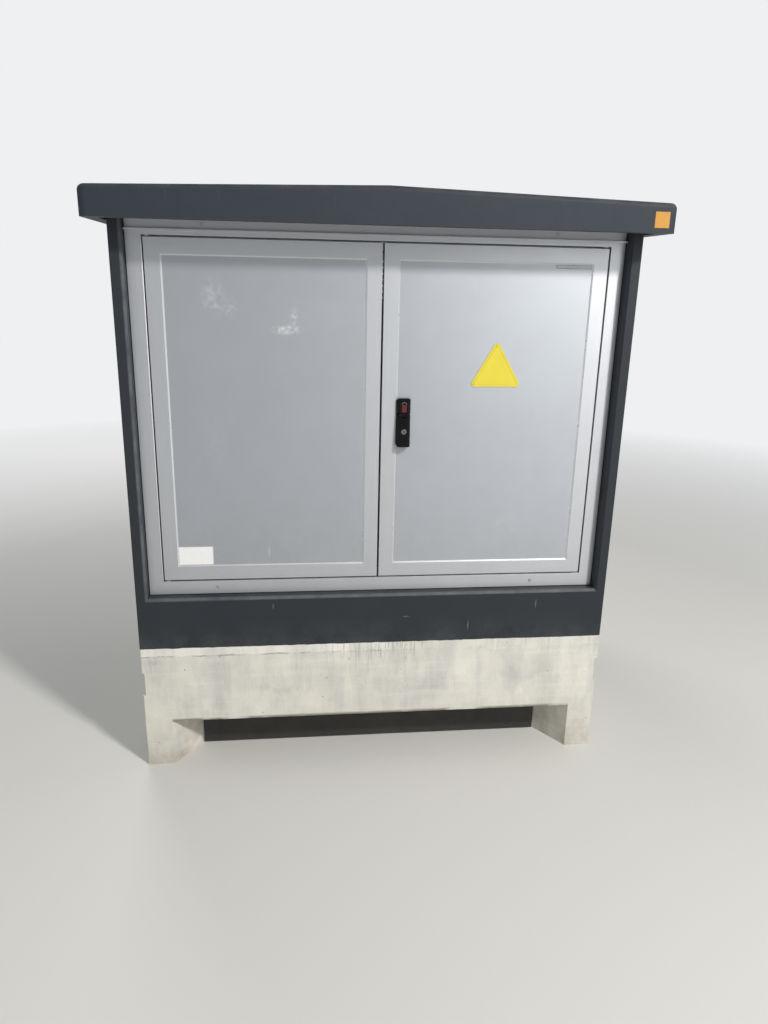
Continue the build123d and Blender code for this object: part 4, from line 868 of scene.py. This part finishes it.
def finishPiece(name, parts, slotName, body="root", edge=0.0, finish=None):
    takeUp(parts[0])
    for part in parts:
        part.select_set(True)
    if len(parts) > 1:
        bpy.ops.object.join()
    piece = bpy.context.object
    piece.name = name
    settle(piece)
    roundEdges(piece, edge)
    dress(piece, body, finish or finishes[slotName])


screwSizes = {
    "panel_screws": dict(radius=0.0055, height=0.005, sides=24, hollow=0.0028, sink=0.0025),
    "cover_screws": dict(radius=0.0065, height=0.008, sides=24, hollow=0.003, sink=0.003),
    "louvre_screws": dict(radius=0.0038, height=0.0026, sides=20, hollow=0.0018, sink=0.0012),
    "bar_bolts": dict(radius=0.0075, height=0.009, sides=6),
    "foot_bolts": dict(radius=0.008, height=0.010, sides=6),
}
washerShare = {"radius": 1.45, "height": 0.18, "rise": 0.17, "head": 0.83}


def addScrews(name, places, direction):
    share, size = washerShare, screwSizes[name]
    washer = dict(radius=size["radius"] * share["radius"], height=size["height"] * share["height"], sides=20)
    head = dict(size, height=size["height"] * share["head"])
    studs = []
    for foot in places:
        top = Vector(foot) + Vector(direction) * size["height"] * share["rise"]
        studs.append(addStud(foot, direction, **washer))
        studs.append(addStud(top, direction, **head))
    finishPiece(name, studs, "galvanised_steel")


# Sloped bead round each door panel, where it meets the stiles and rails

def makePanelBead(side):
    look = doorLook
    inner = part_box(side + "_lock_stile")
    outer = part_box(side + "_hinge_stile")
    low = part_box(side + "_bottom_rail")[0][2] + look["memberWidth"]
    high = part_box(side + "_top_rail")[1][2] - look["memberWidth"]
    if side == "right":
        across = (inner[1][0], outer[0][0])
    else:
        across = (outer[1][0], inner[0][0])
    bead = addBar((across[0], look["beadFront"], low), (across[1], look["beadBack"], high), 0)
    for way, sink in ((1, 0.0), (-1, look["beadSink"])):
        pickFaces(bead, lambda face: face.normal.y * way > 0.99)
        editMode()
        bpy.ops.mesh.inset(thickness=look["bead"])
        bpy.ops.transform.translate(value=(0, sink, 0))
        bpy.ops.mesh.delete(type="FACE")
        objectMode()
    editMode("EDGE")
    bpy.ops.mesh.select_all(action="DESELECT")
    bpy.ops.mesh.select_non_manifold()
    bpy.ops.mesh.bridge_edge_loops()
    bpy.ops.mesh.select_mode(type="FACE")
    objectMode()
    # The bead takes the paler aluminium, a painted highlight
    finishPiece(side + "_panel_bead", [bead], "anodised_aluminium", side + "_leaf", finish=finishes["bead"])


# Bright half ring over the red insert of the handle

ringLook = {"radius": 0.0088, "wire": 0.0016, "forward": 0.0005, "rise": 0.001}


def makeSpindleRing():
    look = ringLook
    clearSelection()
    low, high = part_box("handle_insert")
    middle = ((low[0] + high[0]) / 2, low[1] + look["forward"], high[2] + look["rise"])
    bpy.ops.mesh.primitive_torus_add(major_segments=40, minor_segments=10, major_radius=look["radius"],
                                     minor_radius=look["wire"], location=middle,
                                     rotation=(math.radians(90), 0, 0))
    ring = bpy.context.object
    settle(ring)
    pickFaces(ring, lambda face: face.center.z < middle[2])
    editMode()
    bpy.ops.mesh.delete(type="FACE")
    bpy.ops.mesh.select_all(action="SELECT")
    bpy.ops.mesh.fill_holes(sides=0)
    objectMode()
    finishPiece("spindle_ring", [ring], "lock_chrome", "handle_hub")


# Switchgear front: mimic lines, position windows, gauge, test sockets and screws

switchLook = {
    "front": -0.396,
    "seat": 0.0002,
    "coverSeat": 0.003,
    "feeders": (-0.650, -0.250),
    "shaftLevel": 1.668,
    "shaftGap": 0.040,
    "lineWidth": 0.007,
    "lineThick": 0.0008,
    "busLevel": 1.895,
    "busReach": 0.06,
    "windowLevel": 1.775,
    "windowGap": 0.024,
    "bezel": (0.030, 0.020),
    "pane": (0.0245, 0.0145),
    "pointer": (0.002, 0.0125),
    "socketLevel": 1.470,
    "socketGap": 0.030,
    "socketPitch": 0.026,
    "earthDrop": 0.086,
    "earthBars": ((0.0, 0.020), (0.016, 0.012)),
    "screwInset": 0.022,
}


def addTile(x, z, half, near, far, edge=0.0002):
    return addBar((x - half[0], near, z - half[1]), (x + half[0], far, z + half[1]), edge)


def makeMimic():
    look = switchLook
    near, far, half = look["front"] - look["lineThick"], look["front"] + look["seat"], look["lineWidth"] / 2
    bus, window, shaft = look["busLevel"], look["windowLevel"], look["shaftLevel"]
    left, right = (x + way * look["busReach"] for x, way in zip(look["feeders"], (-1, 1)))
    bars = [addBar((left, near, bus - half), (right, far, bus + half), 0.0002)]
    for x in look["feeders"]:
        for low, high in ((window + look["windowGap"], bus),
                          (shaft + look["shaftGap"], window - look["windowGap"]),
                          (look["socketLevel"] + look["socketGap"], shaft - look["shaftGap"])):
            bars.append(addBar((x - half, near, low), (x + half, far, high), 0.0002))
        for drop, wide in look["earthBars"]:
            bars.append(addTile(x, shaft - look["earthDrop"] - drop, (wide, 0.002), near, far))
    finishPiece("mimic_lines", bars, "knob_black")


def makeWindows():
    look = switchLook
    front, z = look["front"], look["windowLevel"]
    frames, panes = [], []
    for x in look["feeders"]:
        bezel = addTile(x, z, look["bezel"], front - 0.004, front + look["seat"], 0.001)
        pickFaces(bezel, lambda face: face.normal.y < -0.99)
        editMode()
        bpy.ops.mesh.inset(thickness=0.005)
        bpy.ops.mesh.extrude_region_move(TRANSFORM_OT_translate={"value": (0, 0.0028, 0)})
        objectMode()
        frames.append(bezel)
        panes.append(addTile(x, z, look["pane"], front - 0.0018, front - 0.0005))
        panes.append(addTile(x, z, look["pointer"], front - 0.0022, front - 0.0010))
    finishPiece("position_windows", frames, "knob_black")
    finishPiece("window_panes", panes, "label_white")


gaugeLook = {
    "middle": (-0.450, 1.790),
    "radius": 0.036,
    "rimDepth": 0.014,
    "dialDepth": 0.0046,
    "dialBehind": 0.004,
    "markRing": 0.68,
    "markAhead": 0.0094,
    "markHalf": (0.0006, 0.0030),
    "markTurns": range(-120, 121, 30),
    "needleTurn": 38,
    "needleAhead": 0.0100,
    "hub": (0.0035, 0.0024),
    "hubAhead": 0.0085,
}


def makeGauge():
    look = gaugeLook
    x, z = look["middle"]
    front, radius = switchLook["front"], look["radius"]
    rim = addStud((x, front + switchLook["seat"], z), forward, radius, look["rimDepth"], 48, radius * 0.86,
                  0.006)
    finishPiece("gauge_rim", [rim], "lock_chrome", edge=0.0006)
    dial = addStud((x, front - look["dialBehind"], z), forward, radius * 0.84, look["dialDepth"], 48)
    finishPiece("gauge_dial", [dial], "label_white")
    marks = []
    for angle in look["markTurns"]:
        turn = math.radians(angle)
        way = Vector((math.sin(turn), 0, math.cos(turn)))
        mark = addTile(0, 0, look["markHalf"], -0.0003, 0.0003, 0.0001)
        marks.append(turnedTo(mark, (0, turn, 0),
                              Vector((x, front - look["markAhead"], z)) + way * radius * look["markRing"]))
    hub = addStud((x, front - look["hubAhead"], z), forward, *look["hub"], 20)
    needle = addBar((-0.0009, -0.0004, -0.006), (0.0009, 0.0004, radius * 0.62), 0.0002)
    turnedTo(needle, (0, math.radians(look["needleTurn"]), 0), (x, front - look["needleAhead"], z))
    finishPiece("gauge_needle", marks + [hub, needle], "knob_black")


def makeTestSockets():
    look = switchLook
    spots = [(x + side * look["socketPitch"], look["front"] + look["seat"], look["socketLevel"])
             for x in look["feeders"] for side in (-1, 0, 1)]
    sockets = [addStud(spot, forward, 0.0085, 0.007, 28, 0.0035, 0.005) for spot in spots]
    finishPiece("test_sockets", sockets, "knob_black", edge=0.0004)


def makeSwitchScrews():
    inset = switchLook["screwInset"]
    low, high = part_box("switchgear_panel")
    spots = [(x, low[1], z) for x in (low[0] + inset, (low[0] + high[0]) / 2, high[0] - inset)
             for z in (low[2] + inset, high[2] - inset)]
    addScrews("panel_screws", spots, forward)
    low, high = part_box("switchgear_cover")
    spots = [(x, switchLook["front"] + switchLook["coverSeat"], z) for x in (low[0] + inset, high[0] - inset)
             for z in (low[2] + inset, high[2] - inset)]
    addScrews("cover_screws", spots, forward)


# Low-voltage rack: hexagon bolts on the bars, and in the feet

rackLook = {
    "levels": (1.158, 1.308, 1.403, 1.498),
    "crossBolts": (0.18, 0.30, 0.42, 0.54, 0.66),
    "barInset": 0.012,
    "footTop": 0.008,
    "footSide": 0.02,
    "footDepths": (0.025, 0.03),
}


def makeRackBolts():
    look = rackLook
    low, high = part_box("busbars")
    spots = [(x, low[1], z) for x in (low[0] + look["barInset"], high[0] - look["barInset"])
             for z in look["levels"]]
    spots += [(x, low[1], look["levels"][0]) for x in look["crossBolts"]]
    addScrews("bar_bolts", spots, forward)
    low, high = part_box("lv_rack")
    near, far = look["footDepths"]
    feet = [(x, y, low[2] + look["footTop"]) for x in (low[0] + look["footSide"], high[0] - look["footSide"])
            for y in (low[1] + near, high[1] - far)]
    addScrews("foot_bolts", feet, upward)


# Transformer: thermometer pocket and terminal nuts

tankLook = {
    "pocket": (-0.20, 0.335, 1.512),
    "pocketTube": (-0.20, 0.335, 1.533),
    "nutLevel": 1.6615,
    "nutDepth": 0.05,
    "middleNut": -0.06,
    "nutPitch": 0.17,
}


def makeTankFittings():
    look = tankLook
    pocket = [addStud(look["pocket"], upward, 0.016, 0.022, 6),
              addStud(look["pocketTube"], upward, 0.011, 0.045, 24, 0.006, 0.01)]
    finishPiece("thermometer_pocket", pocket, "lock_brass", edge=0.0005)
    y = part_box("hv_bushings")[0][1] + look["nutDepth"]
    caps = [addStud((look["middleNut"] + step * look["nutPitch"], y, look["nutLevel"]), upward, 0.0085,
                    0.012, 6) for step in (-1, 0, 1)]
    finishPiece("bushing_nuts", caps, "lock_brass", edge=0.0005)


# Tap changer: raised marks round the knob

tapLook = {"level": 1.512, "height": 0.0012, "gap": 0.006, "length": 0.010, "half": 0.0015,
           "turns": range(0, 145, 36)}


def makeTapMarks():
    look = tapLook
    low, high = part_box("tap_knob")
    middle = ((low[0] + high[0]) / 2, (low[1] + high[1]) / 2, 0)
    start = (high[0] - low[0]) / 2 + look["gap"]
    marks = []
    for angle in look["turns"]:
        mark = addBar((start, -look["half"], look["level"]),
                      (start + look["length"], look["half"], look["level"] + look["height"]), 0.0003)
        marks.append(turnedTo(mark, (0, 0, math.radians(angle)), middle))
    finishPiece("tap_marks", marks, "label_white")


# Rear louvres: a wire mesh behind the slats and screws round each frame

louvreLook = {
    "levels": (0.600, 1.830),
    "width": 0.900,
    "height": 0.250,
    "margin": 0.004,
    "meshDepth": 0.6735,
    "meshPitch": 0.0125,
    "wire": 0.0011,
    "rimScrew": 0.010,
    "screwPlaces": (-0.46, -0.155, 0.155, 0.46),
    "seat": 0.0003,
}


def makeLouvreMesh():
    look = louvreLook
    for name, level in zip(("lower_wire_mesh", "upper_wire_mesh"), look["levels"]):
        clearSelection()
        columns = round(look["width"] / look["meshPitch"])
        rows = round(look["height"] / look["meshPitch"])
        bpy.ops.mesh.primitive_grid_add(x_subdivisions=columns, y_subdivisions=rows, size=1)
        mesh = bpy.context.object
        mesh.scale = (look["width"] - look["margin"], look["height"] - look["margin"], 1)
        settle(mesh)
        turnedTo(mesh, (math.radians(90), 0, 0), (0, look["meshDepth"], level + look["height"] / 2))
        wires = mesh.modifiers.new("Wires", "WIREFRAME")
        wires.thickness = look["wire"]
        wires.use_even_offset = False
        wires.use_boundary = True
        finishPiece(name, [mesh], "galvanised_steel")


def makeLouvreScrews():
    look = louvreLook
    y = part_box("rear_louvres")[1][1] - look["seat"]
    spots = [(x, y, z) for level in look["levels"] for x in look["screwPlaces"]
             for z in (level - look["rimScrew"], level + look["height"] + look["rimScrew"])]
    addScrews("louvre_screws", spots, rearward)


makeSpindleRing()
makePanelBead("right")
makePanelBead("left")
makeMimic()
makeWindows()
makeGauge()
makeTestSockets()
makeSwitchScrews()
makeRackBolts()
makeTankFittings()
makeTapMarks()
makeLouvreMesh()
makeLouvreScrews()
print("Small pieces modelled")


# Floor, world and lamps

studioLook = {
    "floor": tone(206, 204, 199),
    "backdrop": (0.86, 0.87, 0.88, 1.0),
    "nearShadow": 3.0,
    "farPale": 8.0,
    "air": (0.90, 0.95, 1.0, 1.0),
    "ambient": 0.39,
}


def makeFloor():
    clearSelection()
    bpy.ops.mesh.primitive_plane_add(size=240, location=(0, 0, 0))
    floor = bpy.context.object
    floor.name = "studio_floor"
    material, spot = startFinish("Studio floor", 0.9)
    tree = material.node_tree
    shader = tree.nodes["Principled BSDF"]
    shader.inputs["Base Color"].default_value = studioLook["floor"]
    away = vectorMath("LENGTH", spot, (0, 0, 0))
    far = spread(away, studioLook["nearShadow"], studioLook["farPale"])
    sky = addNode(tree, "ShaderNodeEmission")
    sky.inputs["Color"].default_value = studioLook["backdrop"]
    mixed = feedAll("ShaderNodeMixShader", (0, 1, 2), (far, shader.outputs[0], sky.outputs[0]))
    feed(tree.nodes["Material Output"].inputs["Surface"], mixed[0])
    floor.data.materials.append(material)


def makeWorld():
    world = bpy.data.worlds.new("Studio")
    bpy.context.scene.world = world
    world.use_nodes = True
    tree = world.node_tree
    around = tree.nodes["Background"]
    around.inputs["Color"].default_value = studioLook["air"]
    around.inputs["Strength"].default_value = studioLook["ambient"]
    behind = addNode(tree, "ShaderNodeBackground")
    behind.inputs["Color"].default_value = studioLook["backdrop"]
    seen = addNode(tree, "ShaderNodeLightPath").outputs["Is Camera Ray"]
    mixed = feedAll("ShaderNodeMixShader", (0, 1, 2), (seen, around.outputs[0], behind.outputs[0]))
    feed(tree.nodes["World Output"].inputs["Surface"], mixed[0])


def makeLamp(name, location, target, size, power, colour=(1, 1, 1)):
    lamp = bpy.data.lights.new(name, "AREA")
    lamp.shape = "SQUARE"
    lamp.size = size
    lamp.energy = power
    lamp.color = colour
    holder = bpy.data.objects.new(name, lamp)
    bpy.context.scene.collection.objects.link(holder)
    holder.location = location
    holder.rotation_euler = (Vector(target) - Vector(location)).to_track_quat("-Z", "Y").to_euler()


makeFloor()
makeWorld()
makeLamp("key_lamp", (3.6, -5.5, 5.8), (0, -0.7, 1.2), 0.7, 490, (1.0, 0.98, 0.95))
makeLamp("side_lamp", (2.4, -4.0, 3.0), (0.4, -0.7, 1.4), 1.6, 30)
makeLamp("fill_lamp", (-5.0, -4.0, 3.0), (0, 0, 1.1), 4.0, 6, (0.96, 0.98, 1.0))
makeLamp("rear_lamp", (-2.5, 6.0, 4.5), (0, 0, 1.2), 3.0, 220)


# Camera a little left of the doors, looking down at them

cameraPlace = {
    "location": Vector((-0.318, -3.603, 1.952)),
    "yaw": 0.1165,
    "down": 0.2925,
    "roll": 0.0216,
    "lens": 27.035,
}


def makeCamera():
    view = cameraPlace
    lens = bpy.data.cameras.new("camera")
    lens.lens = view["lens"]
    lens.clip_start = 0.05
    lens.clip_end = 400
    holder = bpy.data.objects.new("camera", lens)
    bpy.context.scene.collection.objects.link(holder)
    ahead = Vector((math.sin(view["yaw"]) * math.cos(view["down"]),
                    math.cos(view["yaw"]) * math.cos(view["down"]), -math.sin(view["down"])))
    right = Vector((math.cos(view["yaw"]), -math.sin(view["yaw"]), 0))
    up = right.cross(ahead)
    turnedRight = math.cos(view["roll"]) * right + math.sin(view["roll"]) * up
    turnedUp = math.cos(view["roll"]) * up - math.sin(view["roll"]) * right
    holder.matrix_world = Matrix((
        (turnedRight.x, turnedUp.x, -ahead.x, view["location"].x),
        (turnedRight.y, turnedUp.y, -ahead.y, view["location"].y),
        (turnedRight.z, turnedUp.z, -ahead.z, view["location"].z),
        (0, 0, 0, 1)))
    bpy.context.scene.camera = holder


makeCamera()
bpy.context.scene.view_settings.view_transform = "Standard"
print("Stage ready")

clearSelection()
